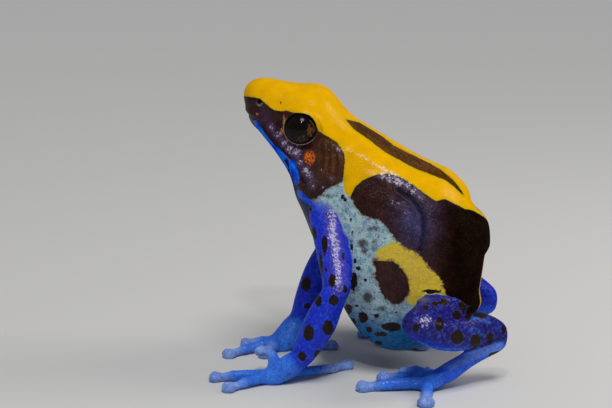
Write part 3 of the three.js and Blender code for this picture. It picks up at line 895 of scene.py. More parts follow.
def refine(obj, wanted, fold=folded):
    """Splits in four the faces whose corners are all wanted, and rounds them off."""
    make_active(obj)
    bpy.ops.object.mode_set(mode="EDIT")
    bpy.ops.mesh.select_mode(type="FACE")
    bpy.ops.mesh.select_all(action="DESELECT")
    bpy.ops.object.mode_set(mode="OBJECT")
    mask = wanted(fold(points_of(obj)))
    chosen = [all(mask[corner] for corner in face.vertices) for face in obj.data.polygons]
    obj.data.polygons.foreach_set("select", chosen)
    bpy.ops.object.mode_set(mode="EDIT")
    bpy.ops.mesh.subdivide(number_cuts=1)
    bpy.ops.object.mode_set(mode="OBJECT")
    relax(obj, wanted(fold(points_of(obj))).astype(float), 2)


def sculpt(obj, shape):
    """Moves the vertices of both halves as shape(points, normals) moves those of the left half."""
    points = points_of(obj)
    signs = half_signs(points)
    set_points(obj, shape(points * signs, normals_of(obj) * signs) * signs)


def eye_axes():
    """Outward, forward and upward directions of the left eye."""
    out = np.array(GAZE) / np.linalg.norm(GAZE)
    ahead = np.cross(out, (0, 0, 1))
    ahead /= np.linalg.norm(ahead)
    return out, ahead, np.cross(ahead, out)


def eye_place(points):
    """How far out of the left eye's centre the points lie, their ring and their angle round it.

    The ring is 1 on the edge of the eye's opening.
    """
    out, ahead, over = eye_axes()
    offset = points - EYE
    across = offset @ ahead / EYE_OPENING[0]
    above = offset @ over / EYE_OPENING[1]
    return offset @ out, np.hypot(across, above), np.arctan2(above, across)


def open_lids(points, normals):
    """Sinks the skin under the eyeball inside the opening and lays the lids round it."""
    height, ring, angle = eye_place(points)
    out = eye_axes()[0]
    radius = np.linalg.norm(points - EYE - height[:, None] * out, axis=1)
    ball_height = np.sqrt(np.clip(EYE_RADIUS**2 - radius**2, 0, None))
    rim_height = math.sqrt(EYE_RADIUS**2 - (LID_TOP_RING * EYE_OPENING[0]) ** 2)
    lower = ramp(-np.sin(angle), *LOWER_LID)
    lid = np.maximum(ball_height, rim_height * LID_FLATNESS) + LID_THICKNESS
    lid = blend(lid, height, ramp(ring, *LID_SLOPE))
    lid = blend(np.maximum(height, ball_height + BROW_CLEARANCE), lid, lower)
    for lift, middle, width in LID_RINGS:
        lid += lift * bell(ring - middle, width) * lower
    height_wanted = blend(ball_height - SOCKET_DEPTH, lid, ramp(ring, *LID_EDGE))
    near = (height > 0) * (1 - ramp(ring, *LID_END))
    return points + ((height_wanted - height) * near)[:, None] * out


def groove(distance, bank_height, bank_place, bank_width, depth, width):
    """The lift of a groove with a bank beside it."""
    return bank_height * bell(distance - bank_place, bank_width) - depth * bell(distance, width)


def rump_lift(points):
    """The bumps of the rump, its hollow and the hollows beside the keel along its middle."""
    x, y, z = points.T
    lift = np.zeros(len(points))
    for bump_x, bump_z, height, reach, half_width in RUMP_BUMPS:
        lift += height * bell(np.hypot(x - bump_x, z - bump_z), reach) * bell(y, half_width)
    lift -= RUMP_DEPTH * ramp(x, *RUMP_RANGE) * band(z, *RUMP_BAND) * bell(y, RUMP_HALF_WIDTH)
    lift -= KEEL_DEPTH * band(-y, *KEEL_ASIDE) * ramp(x, *KEEL_RANGE) * band(z, *KEEL_BAND)
    return lift


def nostril_lift(points, nostril):
    """The pit of the nostril and the bank under it."""
    height, middle, width = NOSTRIL_BANK
    depth, pit_width = NOSTRIL_PIT
    distance = np.linalg.norm(points - nostril, axis=1)
    below = ramp(nostril[2] - points[:, 2], *NOSTRIL_BANK_RANGE)
    return height * bell(distance - middle, width) * below - depth * bell(distance, pit_width)


def eardrum_lift(points, drum):
    """The sunken eardrum and the rim round it."""
    height, middle, width = EARDRUM_RIM
    offset = points - drum
    ring = np.hypot(offset[:, 0] / EARDRUM_RADII[0], offset[:, 2] / EARDRUM_RADII[1])
    near = np.abs(offset[:, 1]) < EARDRUM_SIDE
    return near * (height * bell(ring - middle, width) - EARDRUM_DEPTH * (1 - ramp(ring, *EARDRUM_RANGE)))


def shape_trunk(tree):
    """The folds of head and body, along the lines that the photograph shows."""
    folds = [(seen_points(tree, line), height, width) for line, height, width in TRUNK_FOLDS]
    folds.append(([*LIP_FRONT, *seen_points(tree, UPPER_LIP_LINE)], *LIP_FOLD))
    mouth = [*MOUTH_FRONT, *seen_points(tree, MOUTH_LINE)]
    wrinkles = [seen_points(tree, line) for line in NECK_WRINKLES]
    flank = seen_points(tree, FLANK_CREASE)
    nostril, drum = seen_points(tree, [NOSTRIL_PIXEL, EARDRUM_PIXEL])

    def shape(points, normals):
        mouth_depth = blend(*MOUTH_DEPTHS, ramp(points[:, 0], *MOUTH_DEEPENS))
        lift = -mouth_depth * bell(line_distance(points, mouth), MOUTH_WIDTH)
        for line, height, width in folds:
            lift += height * bell(line_distance(points, line), width)
        for middle, height, reach in HEAD_BUMPS:
            lift += height * bell(np.linalg.norm(points - middle, axis=1), reach)
        for wrinkle in wrinkles:
            lift += groove(line_distance(points, wrinkle), *WRINKLE_GROOVE)
        lift += groove(line_distance(points, flank), *FLANK_GROOVE)
        lift += nostril_lift(points, nostril) + eardrum_lift(points, drum) + rump_lift(points)
        return points + lift[:, None] * normals

    return shape


def digit_frames():
    """The disc of each digit: its middle, and the directions along and across the digit."""
    frames = []
    for joints in DIGITS.values():
        for joint, tip in joints:
            along = np.array(tip) - joint
            along /= np.linalg.norm(along)
            across = np.cross((0, 0, 1), along)
            frames.append((np.array(tip) - DISC_BACK * along, along, across / np.linalg.norm(across)))
    return frames


def disc_lift(offset, along, across, normals):
    """The two scutes on a disc with the cleft between them, the disc's rim and neck, and the knuckle."""
    ahead, aside = offset @ along, offset @ across
    top = ramp(normals[:, 2], *DISC_TOP)
    scute_ahead, scute_aside = SCUTE_PLACE
    scutes = np.hypot((ahead - scute_ahead) / SCUTE_STRETCH, np.abs(aside) - scute_aside)
    lift = SCUTE_HEIGHT * bell(scutes, SCUTE_WIDTH) * top
    lift -= CLEFT_DEPTH * bell(aside, CLEFT_WIDTH) * ramp(ahead, *CLEFT_RANGE) * top
    for place_on_disc, (height, middle, width) in (
        (np.hypot(ahead, aside), DISC_RIM),
        (ahead, DISC_NECK),
        (ahead, KNUCKLE),
    ):
        lift += height * bell(place_on_disc - middle, width)
    return lift


def shape_limbs(tree, points, normals, trunk_edge):
    """Scutes on the discs, knuckles, and creases at the joints and beside the trunk.

    The points lie on both halves.
    """

    def crease(places, line, depth, width):
        return -depth * bell(line_distance(places, line), width)

    depth, width = BORDER_GROOVE
    lift = -depth * bell(trunk_edge, width) * (1 - ramp(points[:, 2], *BORDER_FADES))
    for centre, along, across in digit_frames():
        near = np.linalg.norm(points - centre, axis=1) < DISC_REACH
        lift[near] += disc_lift(points[near] - centre, along, across, normals[near])
    elbow = np.array(seen_points(tree, ELBOW_CREASE))
    far_elbow = elbow * (1, -1, 1) + ELBOW_SHIFT
    lift += crease(points, elbow, *ELBOW_GROOVE) + crease(points, far_elbow, *ELBOW_GROOVE)
    for line, depth, width in LEG_GROOVES:
        lift += crease(folded(points), seen_points(tree, line), depth, width)
    lift += crease(points, seen_points(tree, ELBOW_BACK), *ELBOW_NOTCH)
    return points + lift[:, None] * normals


def shape_thigh(points, normals):
    """Lowers the top of the thigh beside the flank and raises the back of the knee."""
    x, y, z = points.T
    top = band(z, *THIGH_HEIGHTS) * band(x, *THIGH_LENGTHS)
    knee = ramp(z, *KNEE_HEIGHTS) * ramp(x, *KNEE_LENGTHS) * ramp(-y, *KNEE_OUTSIDE)
    rise = (KNEE_RISE * knee - THIGH_DROP * top) * ramp(-y, *THIGH_OUTSIDE)
    return points + rise[:, None] * (0, 0, 1)


def on_tips(points):
    """True on the last joint of each digit."""
    reach = [np.linalg.norm(points - centre, axis=1) for centre, _, _ in digit_frames()]
    return np.min(reach, axis=0) < TIP_REACH


def on_face(points):
    """True where the head has small folds."""
    x, y, z = points.T
    height, slope, start = FACE_TOP
    side = (x < FACE_BACK) & (z > FACE_BOTTOM) & (y < FACE_SIDE)
    front = (x < SNOUT_BACK) & (z > SNOUT_BOTTOM)
    return (side | front) & (z < height + slope * (x - start))


def on_fine_folds(points):
    """True round the eyes, the nostrils and the mouth line."""
    height, ring, _ = eye_place(points)
    inner, outer = FINE_RINGS
    eye = (height > -FINE_DEPTH) & (ring > inner) & (ring < outer)
    nostril = np.linalg.norm(points - NOSTRIL, axis=1) < NOSTRIL_REACH
    mouth = line_distance(points, [*MOUTH_FRONT, *MOUTH_SIDE]) < MOUTH_REACH
    return eye | nostril | mouth


def on_crease(tree):
    """True along the crease in the flank."""
    crease = seen_points(tree, FLANK_CREASE)
    return lambda points: line_distance(points, crease) < CREASE_REACH


def on_border(skin):
    """True beside the line where the limbs leave the trunk."""
    return lambda points: np.abs(trunk_border(skin, nearest_nodes(points))) < BORDER_REACH


def add_values(obj, name, values):
    attribute = obj.data.attributes.new(name, "FLOAT", "POINT")
    attribute.data.foreach_set("value", values.astype(np.float32))


def add_colours(obj, name, colours):
    attribute = obj.data.attributes.new(name, "FLOAT_COLOR", "POINT")
    with_alpha = np.concatenate([colours, np.ones((len(colours), 1))], axis=1)
    attribute.data.foreach_set("color", with_alpha.astype(np.float32).ravel())


def spot_distance(pixels, spots):
    """Millimetres into the nearest of the photograph's spots."""
    best = np.full(len(pixels), OUTSIDE)
    for column, row, wide, high in spots:
        reach = np.hypot((pixels[:, 0] - column) / wide, (pixels[:, 1] - row) / high)
        best = np.maximum(best, (1 - reach) * min(wide, high) / PIXELS_PER_MM)
    return best


def scattered_spots(points, allowed, spacing, sizes, seed):
    """Millimetres into the nearest of the round spots scattered over the allowed vertices."""
    rng = np.random.default_rng(seed)
    centres = np.empty((0, 3))
    for number in rng.permutation(np.flatnonzero(allowed)):
        point = points[number]
        if len(centres) == 0 or np.min(np.sum((centres - point) ** 2, axis=1)) > spacing**2:
            centres = np.vstack([centres, point])
    if len(centres) == 0:
        return np.full(len(points), OUTSIDE)
    tree = KDTree(len(centres))
    for number, centre in enumerate(centres):
        tree.insert(centre, number)
    tree.balance()
    reach = rng.uniform(sizes[0], sizes[1], len(centres))
    nearest = [tree.find(point) for point in points]
    return np.array([reach[number] - distance for _, number, distance in nearest])


class SkinPlaces:
    """Where the skin's vertices lie: on the frog, in the photograph and among the CAD nodes."""

    def __init__(self, skin, owners):
        self.owners = owners
        self.pairs = edge_pairs(skin)
        self.real = points_of(skin)
        self.real_normals = normals_of(skin)
        signs = half_signs(self.real)
        self.points = self.real * signs
        self.normals = self.real_normals * signs
        self.x, self.y, self.z = self.points.T
        self.pixels = photo_pixels(self.points)
        self.column, self.row = self.pixels.T
        self.facing = -(self.normals @ camera_axes()[3])
        self.seen = self.facing > SEEN_FROM
        self.left = self.real[:, 1] < 0
        self.trunk_edge = trunk_border(skin, owners)
        self.trunk = self.trunk_edge > 0
        self.trunk_share = ramp(self.trunk_edge, -TRUNK_FADE, TRUNK_FADE)

    def on(self, *words):
        return part_of(self.owners, *words)

    def fading_on(self, rounds, *words):
        return spread(self.on(*words), self.pairs, rounds)

    def inside(self, outline):
        """Millimetres into an outline in the photograph."""
        return outline_distance(self.pixels, outline)

    def along(self, line, width):
        """1 on a line in the photograph, falling off over a width in pixels."""
        return bell(line_distance(self.pixels, line), width)

    def from_pixel(self, column, row, wide=1, high=1):
        """How far from a pixel, in shares of the two half axes round it."""
        return np.hypot((self.column - column) / wide, (self.row - row) / high)


def spot_map(at, yellow):
    """Millimetres into the nearest dark spot; one of the flank's, above the thigh, is a painted shadow."""
    spots = np.full(len(at.points), OUTSIDE)

    def add(where, distances):
        spots[where] = np.maximum(spots, distances)[where]

    far_x, far_z = FAR_KNEE
    far_knee = ~at.left & (at.x > far_x) & (at.z > far_z)
    far_arm = at.on("upper_arm_right", "forearm_right")
    far_seen = -(at.real_normals @ camera_axes()[3]) > SEEN_FROM
    add(at.trunk & at.seen, spot_distance(at.pixels, FLANK_SPOTS))
    add(at.on("upper_arm_left", "forearm_left") & at.seen & at.left, spot_distance(at.pixels, ARM_SPOTS))
    add(at.on("thigh", "shank", "tarsus") & at.seen & ~far_knee, spot_distance(at.pixels, LEG_SPOTS))
    add(far_arm & far_seen, spot_distance(photo_pixels(at.real), FAR_ARM_SPOTS))
    belly = at.trunk & (at.facing < 0.0) & (yellow < BELLY_GAP) & (at.z < BELLY_TOP)
    add(at.trunk, scattered_spots(at.real, belly, *BELLY_SCATTER))
    unseen = np.where(far_arm, ~far_seen, at.facing < HIDDEN_TO) & ~far_knee
    unseen &= at.on("upper", "forearm", "thigh", "shank")
    add(~at.trunk, scattered_spots(at.real, unseen, *LIMB_SCATTER))
    return spots


def marking_maps(at):
    """Millimetres into each of the skin's markings, negative outside it."""

    def marks(spots):
        return np.where(at.trunk & at.seen, spot_distance(at.pixels, spots), OUTSIDE)

    stripe = at.inside(BACK_STRIPE)
    on_back = (at.z > MEDIAN_BOTTOM) & (at.normals[:, 2] > MEDIAN_SLOPE)
    median = np.where(on_back, BACK_LINE + at.y, OUTSIDE)
    tail_x, tail_top = TAIL_LINE
    on_rump = (at.x > tail_x) & (at.z < tail_top)
    tail_line = np.where(on_rump, blend(*TAIL_LINE_WIDTHS, fall(at.z, *TAIL_LINE_RANGE)) + at.y, OUTSIDE)
    yellow = np.minimum(at.inside(YELLOW_OUTLINE), np.maximum(-stripe - STRIPE_GAP, median))
    yellow = np.minimum(np.maximum(yellow, tail_line), at.trunk_edge)
    jaw = [at.inside(outline) for outline in (JAW_BAND, THROAT_BAND, CHEST_WEDGE)]
    dark = [at.inside(outline) for outline in (FACE_MASK, FLANK_PATCH, OVAL_PATCH)]
    dark.append(stripe + STRIPE_SPREAD)
    drum = (1 - at.from_pixel(*EARDRUM_PIXEL, *EARDRUM_AXES)) * DRUM_HALF_WIDTH
    return {
        "yellow": yellow,
        "dark": np.minimum(np.max(dark, axis=0), at.trunk_edge),
        "jaw": np.minimum(np.max(jaw, axis=0), at.trunk_edge),
        "flank_yellow": np.minimum(at.inside(FLANK_YELLOW), at.trunk_edge) + OUTSIDE * ~at.seen,
        "spots": spot_map(at, yellow),
        "soft_spots": marks(SOFT_SPOTS),
        "drum": np.where(at.trunk & (at.facing > DRUM_SEEN_FROM), drum, OUTSIDE),
        "gold": marks(GOLD_MARKS),
        "red": marks(RED_MARKS),
    }


# The patches of painted glints: how strong they are at each vertex
def glint_patches(at):
    return np.max([strength * bell(at.from_pixel(u, v), reach) for u, v, reach, strength in PAINTED_GLINTS], axis=0)


def ground_colours(at):
    """The blues and greys of the skin under its markings, with a painted sheen along the upper arm, a painted
    highlight on the thigh's top, painted light on the tarsus's top and painted shade in its crease.
    """
    near_leg = at.seen & at.left
    ground = np.tile(np.array(ROYAL_BLUE), (len(at.points), 1))
    hip = ramp(at.column, *HIP_COLUMNS) * ramp(at.row, *HIP_ROWS)
    lay(ground, FLANK_GREY, at.trunk_share * (1 - hip))
    belly_row = at.row + BELLY_CURVE * np.abs(at.column - BELLY_COLUMN)
    lay(ground, BELLY_BLUE, at.trunk_share * ramp(belly_row, *BELLY_ROWS))
    # Painted sheen: lavender along the line of the upper arm's glints
    arm_sheen = at.along(ARM_GLINT_LINE, ARM_SHEEN_WIDTH) * at.on("upper_arm") * at.seen
    lay(ground, ARM_SHEEN_LAVENDER, ARM_SHEEN_SHARE * spread(arm_sheen, at.pairs, SHADE_ROUNDS))
    shoulder = fall(at.row, *SHOULDER_ROWS) * ramp(at.column, *SHOULDER_COLUMNS)
    shoulder = spread(shoulder * at.on("upper_arm_left") * at.seen, at.pairs, SHADE_ROUNDS)
    lay(ground, SHOULDER_PALE, SHOULDER_SHARE * shoulder)
    lay(ground, BELLY_BLUE, at.trunk_share * ramp(-at.facing, *BELLY_TURN) * fall(at.z, *BELLY_HEIGHTS))
    slope, start = LEG_VIOLET_SLOPE
    violet = ramp(at.z + slope * (at.x - start), *LEG_VIOLET_HEIGHTS) * np.where(at.left, 1.0, FAR_LEG_SHARE)
    lay(ground, LEG_VIOLET, at.fading_on(LEG_ROUNDS, "thigh", "shank") * violet)
    throat = fall(at.column, *THROAT_COLUMNS) * fall(at.row, *THROAT_ROWS)
    lay(ground, THROAT_BLUE, at.trunk_share * throat)
    lay(ground, BRIGHT_BLUE, at.fading_on(LEG_ROUNDS, "tarsus"))
    # Painted highlight: pale grey on the thigh's top
    thigh_highlight = bell(at.from_pixel(*THIGH_HIGHLIGHT_PLACE), 1.0) * at.on("thigh") * near_leg
    lay(ground, THIGH_HIGHLIGHT_COLOUR, THIGH_HIGHLIGHT_SHARE * thigh_highlight)
    # Painted light: a paler blue on the tarsus's top
    shin = at.on("tarsus", "shank") * near_leg
    lay(ground, PAINTED_TARSUS_LIGHT, LIT_TARSUS_SHARE * ramp(at.inside(TARSUS_BAND), *TARSUS_EDGE) * shin)
    # Painted shade in the tarsus's crease
    lay(ground, PAINTED_RECESS_SHADE, CREASE_SHADE_SHARE * at.along(TARSUS_CREASE, TARSUS_CREASE_SHADE_WIDTH) * shin)
    digits = at.fading_on(DIGIT_ROUNDS, "finger", "toe", "hand", "foot")
    lay(ground, HAND_BLUE, digits)
    pale_places = [*(centre for centre, _, _ in digit_frames()), REAR_FINGER]
    tips = np.min([np.linalg.norm(at.real - centre, axis=1) for centre in pale_places], axis=0)
    lay(ground, TIP_PALE, digits * fall(tips, *TIP_FADE))
    return ground


def tone_colours(at):
    """The browns and blacks of the dark markings, with a painted bluish sheen on the flank's patch, painted
    shade in the neck's wrinkles, the flank's crease and the nostril, and a painted lilac sheen under the
    painted glints.
    """
    tone = np.tile(np.array(DARK_BROWN), (len(at.points), 1))
    lay(tone, BACK_BLACK, ramp(at.column, *RUMP_COLUMNS))
    # Painted sheen: slate-violet on the flank's dark patch
    lay(tone, PAINTED_FLANK_SHEEN, bell(at.from_pixel(*FLANK_SHEEN_PLACE), 1.0))
    lay(tone, STRIPE_BROWN, ramp(at.inside(BACK_STRIPE), *STRIPE_INSIDE))
    lay(tone, LIP_PURPLE, at.along(UPPER_LIP_LINE, LIP_SHADE_WIDTH) * ramp(at.column, *LIP_COLUMNS))
    lay(tone, MASK_BROWN, bell(at.from_pixel(*MASK_SHADE), MASK_SHADE_WIDTH))
    # Painted shade in the neck's wrinkles
    for wrinkle in NECK_WRINKLES:
        lay(tone, DARK_BROWN, WRINKLE_SHADE_SHARE * at.along(wrinkle, WRINKLE_SHADE_WIDTH))
    # Painted shade in the flank's crease
    lay(tone, PAINTED_RECESS_SHADE, CREASE_SHADE_SHARE * at.along(FLANK_CREASE, FLANK_CREASE_SHADE_WIDTH))
    # Painted shade in the nostril's pit
    lay(tone, PAINTED_RECESS_SHADE, bell(at.from_pixel(*NOSTRIL_PIXEL, *NOSTRIL_AXES), 1.0))
    # Painted sheen: lilac under the painted glints
    lay(tone, GLINT_LILAC, GLINT_LILAC_SHARE * glint_patches(at))
    return tone


def thin_rims(at):
    """The pale edge of the eye's lower front, and the pale crescent under the nostril, a painted highlight on
    the bank below it.
    """
    height, ring, angle = eye_place(at.points)
    rim_ring, rim_width = LID_RIM_RING
    lid = (height > 0) * bell(ring - rim_ring, rim_width)
    lid *= ramp(-np.sin(angle) + LID_RIM_LEAN * np.cos(angle), *LID_RIM_RANGE)
    # Painted highlight: the pale crescent under the nostril
    column, row = NOSTRIL_PIXEL
    middle, width = NOSTRIL_RIM
    crescent = bell(at.from_pixel(column, row, *NOSTRIL_AXES) - middle, width)
    crescent *= bell(at.column - column, NOSTRIL_RIM_COLUMNS) * ramp(at.row - row, *NOSTRIL_RIM_ROWS)
    return np.maximum(lid, crescent * at.seen)


def low_gloss(at, yellow):
    """Where the skin shines little: the rear, the jaw's front and the yellow."""
    jaw_front = fall(at.column, *JAW_COLUMNS) * ramp(at.row, *JAW_ROWS)
    rear = ramp(at.normals[:, 0], *REAR_TURN) * ramp(at.x, *REAR_RANGE)
    dark_rear = ramp(at.x, *DARK_REAR_RANGE) * (yellow < 0)
    dull = [dark_rear * at.trunk, jaw_front * at.trunk, YELLOW_DULLNESS * (yellow > 0), rear]
    return spread(np.max(dull, axis=0), at.pairs, GLOSS_ROUNDS)


def surface_maps(at, yellow):
    """The parts of the surface, its painted glints, gloss, grain and thin lines, each from 0 to 1."""
    ridge_strength, ridge_width = RIDGE_GLINT
    painted_glints = [
        glint_patches(at),
        at.along(ARM_GLINT_LINE, ARM_GLINT_WIDTH) * at.on("upper_arm"),
        ridge_strength * at.along(SHOULDER_RIDGE, ridge_width),
    ]
    streaks = np.max([at.along(line, STREAK_WIDTH) for line in LEG_STREAKS], axis=0)
    return {
        "pale_flank": at.trunk_share * ramp(-yellow, *PALE_FLANK_RANGE),
        "limb": 1 - at.trunk_share,
        "streaks": streaks * (at.on("thigh", "shank", "tarsus") & at.seen),
        "painted_glints": np.max(painted_glints, axis=0) * at.seen,
        "gloss": GLOSS_MOST - GLOSS_LOSS * low_gloss(at, yellow),
        "grain": blend(GRAIN_LEAST, 1.0, ramp(-yellow, *GRAIN_RANGE)),
        "lid": thin_rims(at),
    }


def paint_skin(skin, owners):
    """Gives the skin the maps that its material reads."""
    at = SkinPlaces(skin, owners)
    markings = marking_maps(at)
    for name, values in {**markings, **surface_maps(at, markings["yellow"])}.items():
        add_values(skin, name, values)
    add_colours(skin, "ground", ground_colours(at))
    add_colours(skin, "tone", tone_colours(at))


class Shader:
    """Builds the nodes of one material."""

    def __init__(self, name):
        self.material = bpy.data.materials.new(name)
        self.material.use_nodes = True
        self.nodes = self.material.node_tree.nodes
        self.links = self.material.node_tree.links
        self.surface = self.nodes["Principled BSDF"].inputs
        self.place = self.add("ShaderNodeTexCoord").outputs["Object"]

    def add(self, kind, inputs=None, **settings):
        node = self.nodes.new(kind)
        for name, value in settings.items():
            setattr(node, name, value)
        for socket, value in (inputs or {}).items():
            self.set(node.inputs[socket], value)
        return node

    def set(self, socket, value):
        if isinstance(value, bpy.types.NodeSocket):
            self.links.new(value, socket)
        elif socket.type == "RGBA":
            socket.default_value = (*value, 1.0)
        else:
            socket.default_value = value

    def value(self, name):
        return self.add("ShaderNodeAttribute", attribute_name=name).outputs["Fac"]

    def colour(self, name):
        return self.add("ShaderNodeAttribute", attribute_name=name).outputs["Color"]

    def math(self, operation, *inputs):
        node = self.add("ShaderNodeMath", operation=operation)
        for number, value in enumerate(inputs):
            self.set(node.inputs[number], value)
        return node.outputs[0]

    def times(self, first, second):
        return self.math("MULTIPLY", first, second)

    def plus_times(self, first, second, added):
        return self.math("MULTIPLY_ADD", first, second, added)

    def less(self, first, second):
        return self.math("SUBTRACT", first, second)

    def noise(self, size, detail, roughness=0.5):
        """Noise whose features are about a size in millimetres."""
        inputs = {"Vector": self.place, "Scale": 1 / (size * MM), "Detail": detail, "Roughness": roughness}
        return self.add("ShaderNodeTexNoise", inputs).outputs["Fac"]

    def pattern(self, size, detail, roughness, low, high):
        """Where the noise lies high, from 0 to 1."""
        return self.ramp(self.noise(size, detail, roughness), low, high)

    def cells(self, size, output="Distance", feature="F1"):
        inputs = {"Vector": self.place, "Scale": 1 / (size * MM)}
        return self.add("ShaderNodeTexVoronoi", inputs, feature=feature).outputs[output]

    def ramp(self, value, low, high):
        inputs = {"Value": value, "From Min": low, "From Max": high}
        return self.add("ShaderNodeMapRange", inputs, interpolation_type="SMOOTHSTEP").outputs[0]

    def mix(self, share, first, second, blend="MIX"):
        node = self.add("ShaderNodeMix", data_type="RGBA", blend_type=blend)
        self.set(node.inputs[0], share)
        self.set(node.inputs[6], first)
        self.set(node.inputs[7], second)
        return node.outputs[2]


class SkinShader(Shader):
    """The nodes of the wet skin, with the noises that its markings share."""

    def __init__(self):
        super().__init__("wet_skin")
        self.wobble = self.less(self.noise(*WOBBLE), 0.5)
        self.sway = self.less(self.noise(*SWAY), 0.5)
        self.fine = self.less(self.noise(*FINE), 0.5)
        self.blotch = self.noise(*BLOTCHES)
        self.mottle = self.noise(*MOTTLING)
        self.granules = self.cells(GRANULE_SIZE, feature="SMOOTH_F1")

    def marking(self, name, ragged, softness, shift=0.0, bend=0.0):
        """1 inside a marking, whose edge is ragged, bent and soft by lengths in millimetres."""
        edge = self.plus_times(self.wobble, ragged, self.value(name))
        edge = self.plus_times(self.fine, ragged * 0.6, edge)
        if bend:
            edge = self.plus_times(self.sway, bend, edge)
        return self.ramp(edge, shift - softness, shift + softness)

    def two_tone(self, pattern, low, high, colours):
        """A colour that goes from the first to the second where the pattern rises from low to high."""
        return self.mix(self.ramp(pattern, low, high), *colours)

    def ground(self):
        """The blues and greys, mottled, with darker dots on the flank and ripples on the limbs."""
        flank = self.value("pale_flank")
        limb = self.value("limb")
        specks = self.pattern(*SPECKS)
        teal = self.times(self.pattern(*TEAL), flank)
        dots = self.times(self.pattern(*DOTS), flank)
        halo = self.ramp(self.value("spots"), *HALO_RANGE)
        halo = self.times(halo, self.ramp(self.mottle, *FRINGE_MOTTLING))
        violet = self.times(self.pattern(*VIOLET), limb)
        ripple = self.times(self.ramp(self.mottle, *RIPPLE_MOTTLING), limb)
        streaks = self.times(self.value("streaks"), self.ramp(self.mottle, *STREAK_MOTTLING))
        colour = self.colour("ground")
        colour = self.mix(self.ramp(self.blotch, *GROUND_BLOTCHES), colour, BLOTCH_TINT, "MULTIPLY")
        colour = self.mix(self.times(specks, SPECK_SHARE), colour, SPECK_TINT, "MULTIPLY")
        colour = self.mix(self.times(teal, TEAL_SHARE), colour, TEAL_TINT, "MULTIPLY")
        colour = self.mix(self.times(dots, DOT_SHARE), colour, DOT_TINT, "MULTIPLY")
        colour = self.mix(self.times(halo, HALO_SHARE), colour, SPOT_HALO, "SCREEN")
        colour = self.mix(self.times(violet, VIOLET_SHARE), colour, VIOLET_TINT, "MULTIPLY")
        colour = self.mix(self.times(ripple, RIPPLE_SHARE), colour, RIPPLE_BLUE)
        return self.mix(self.times(streaks, STREAK_SHARE), colour, STREAK_BLUE)

    def dark(self):
        """The brown and black of the mask and the patches, with a paler grain."""
        grain = self.pattern(*DARK_GRAIN)
        blotch = self.ramp(self.blotch, *DARK_BLOTCHES)
        colour = self.mix(blotch, self.colour("tone"), DARK_BLOTCH_TINT, "MULTIPLY")
        return self.mix(grain, colour, DARK_GRAIN_TINT, "MULTIPLY")

    def yellow(self):
        """The yellow of the back, olive along its edge."""
        edge = self.less(1.0, self.ramp(self.value("yellow"), *YELLOW_RIM_RANGE))
        colour = self.two_tone(self.blotch, *YELLOW_BLOTCHES, YELLOW_COLOURS)
        return self.mix(self.times(edge, YELLOW_RIM_SHARE), colour, YELLOW_RIM)

    def golden(self):
        """The duller yellow of the flank."""
        colour = self.two_tone(self.mottle, *GOLDEN_MOTTLING, GOLDEN_COLOURS)
        return self.two_tone(self.value("flank_yellow"), *RIM_RANGE, (GOLDEN_RIM, colour))

    def drum(self):
        """The orange grain of the eardrum."""
        colour = self.mix(self.pattern(*DRUM_GRAIN), *DRUM_COLOURS)
        return self.two_tone(self.value("drum"), *RIM_RANGE, (DRUM_RIM, colour))

    def painted_glints(self):
        """Pale grains of painted glints, densest where the glints are strongest, and none where there are
        none.
        """
        from_map, from_wobble, from_grains = GLINT_WEIGHTS
        painted_glints = self.plus_times(self.value("painted_glints"), from_map, self.times(self.wobble, from_wobble))
        painted_glints = self.plus_times(self.cells(GLINT_GRAIN_SIZE, "Color"), from_grains, painted_glints)
        grains = self.times(self.ramp(painted_glints, *GLINT_SHOWS), self.ramp(self.granules, *GLINT_GRANULES))
        return self.times(self.ramp(self.value("painted_glints"), *GLINT_STARTS), grains)


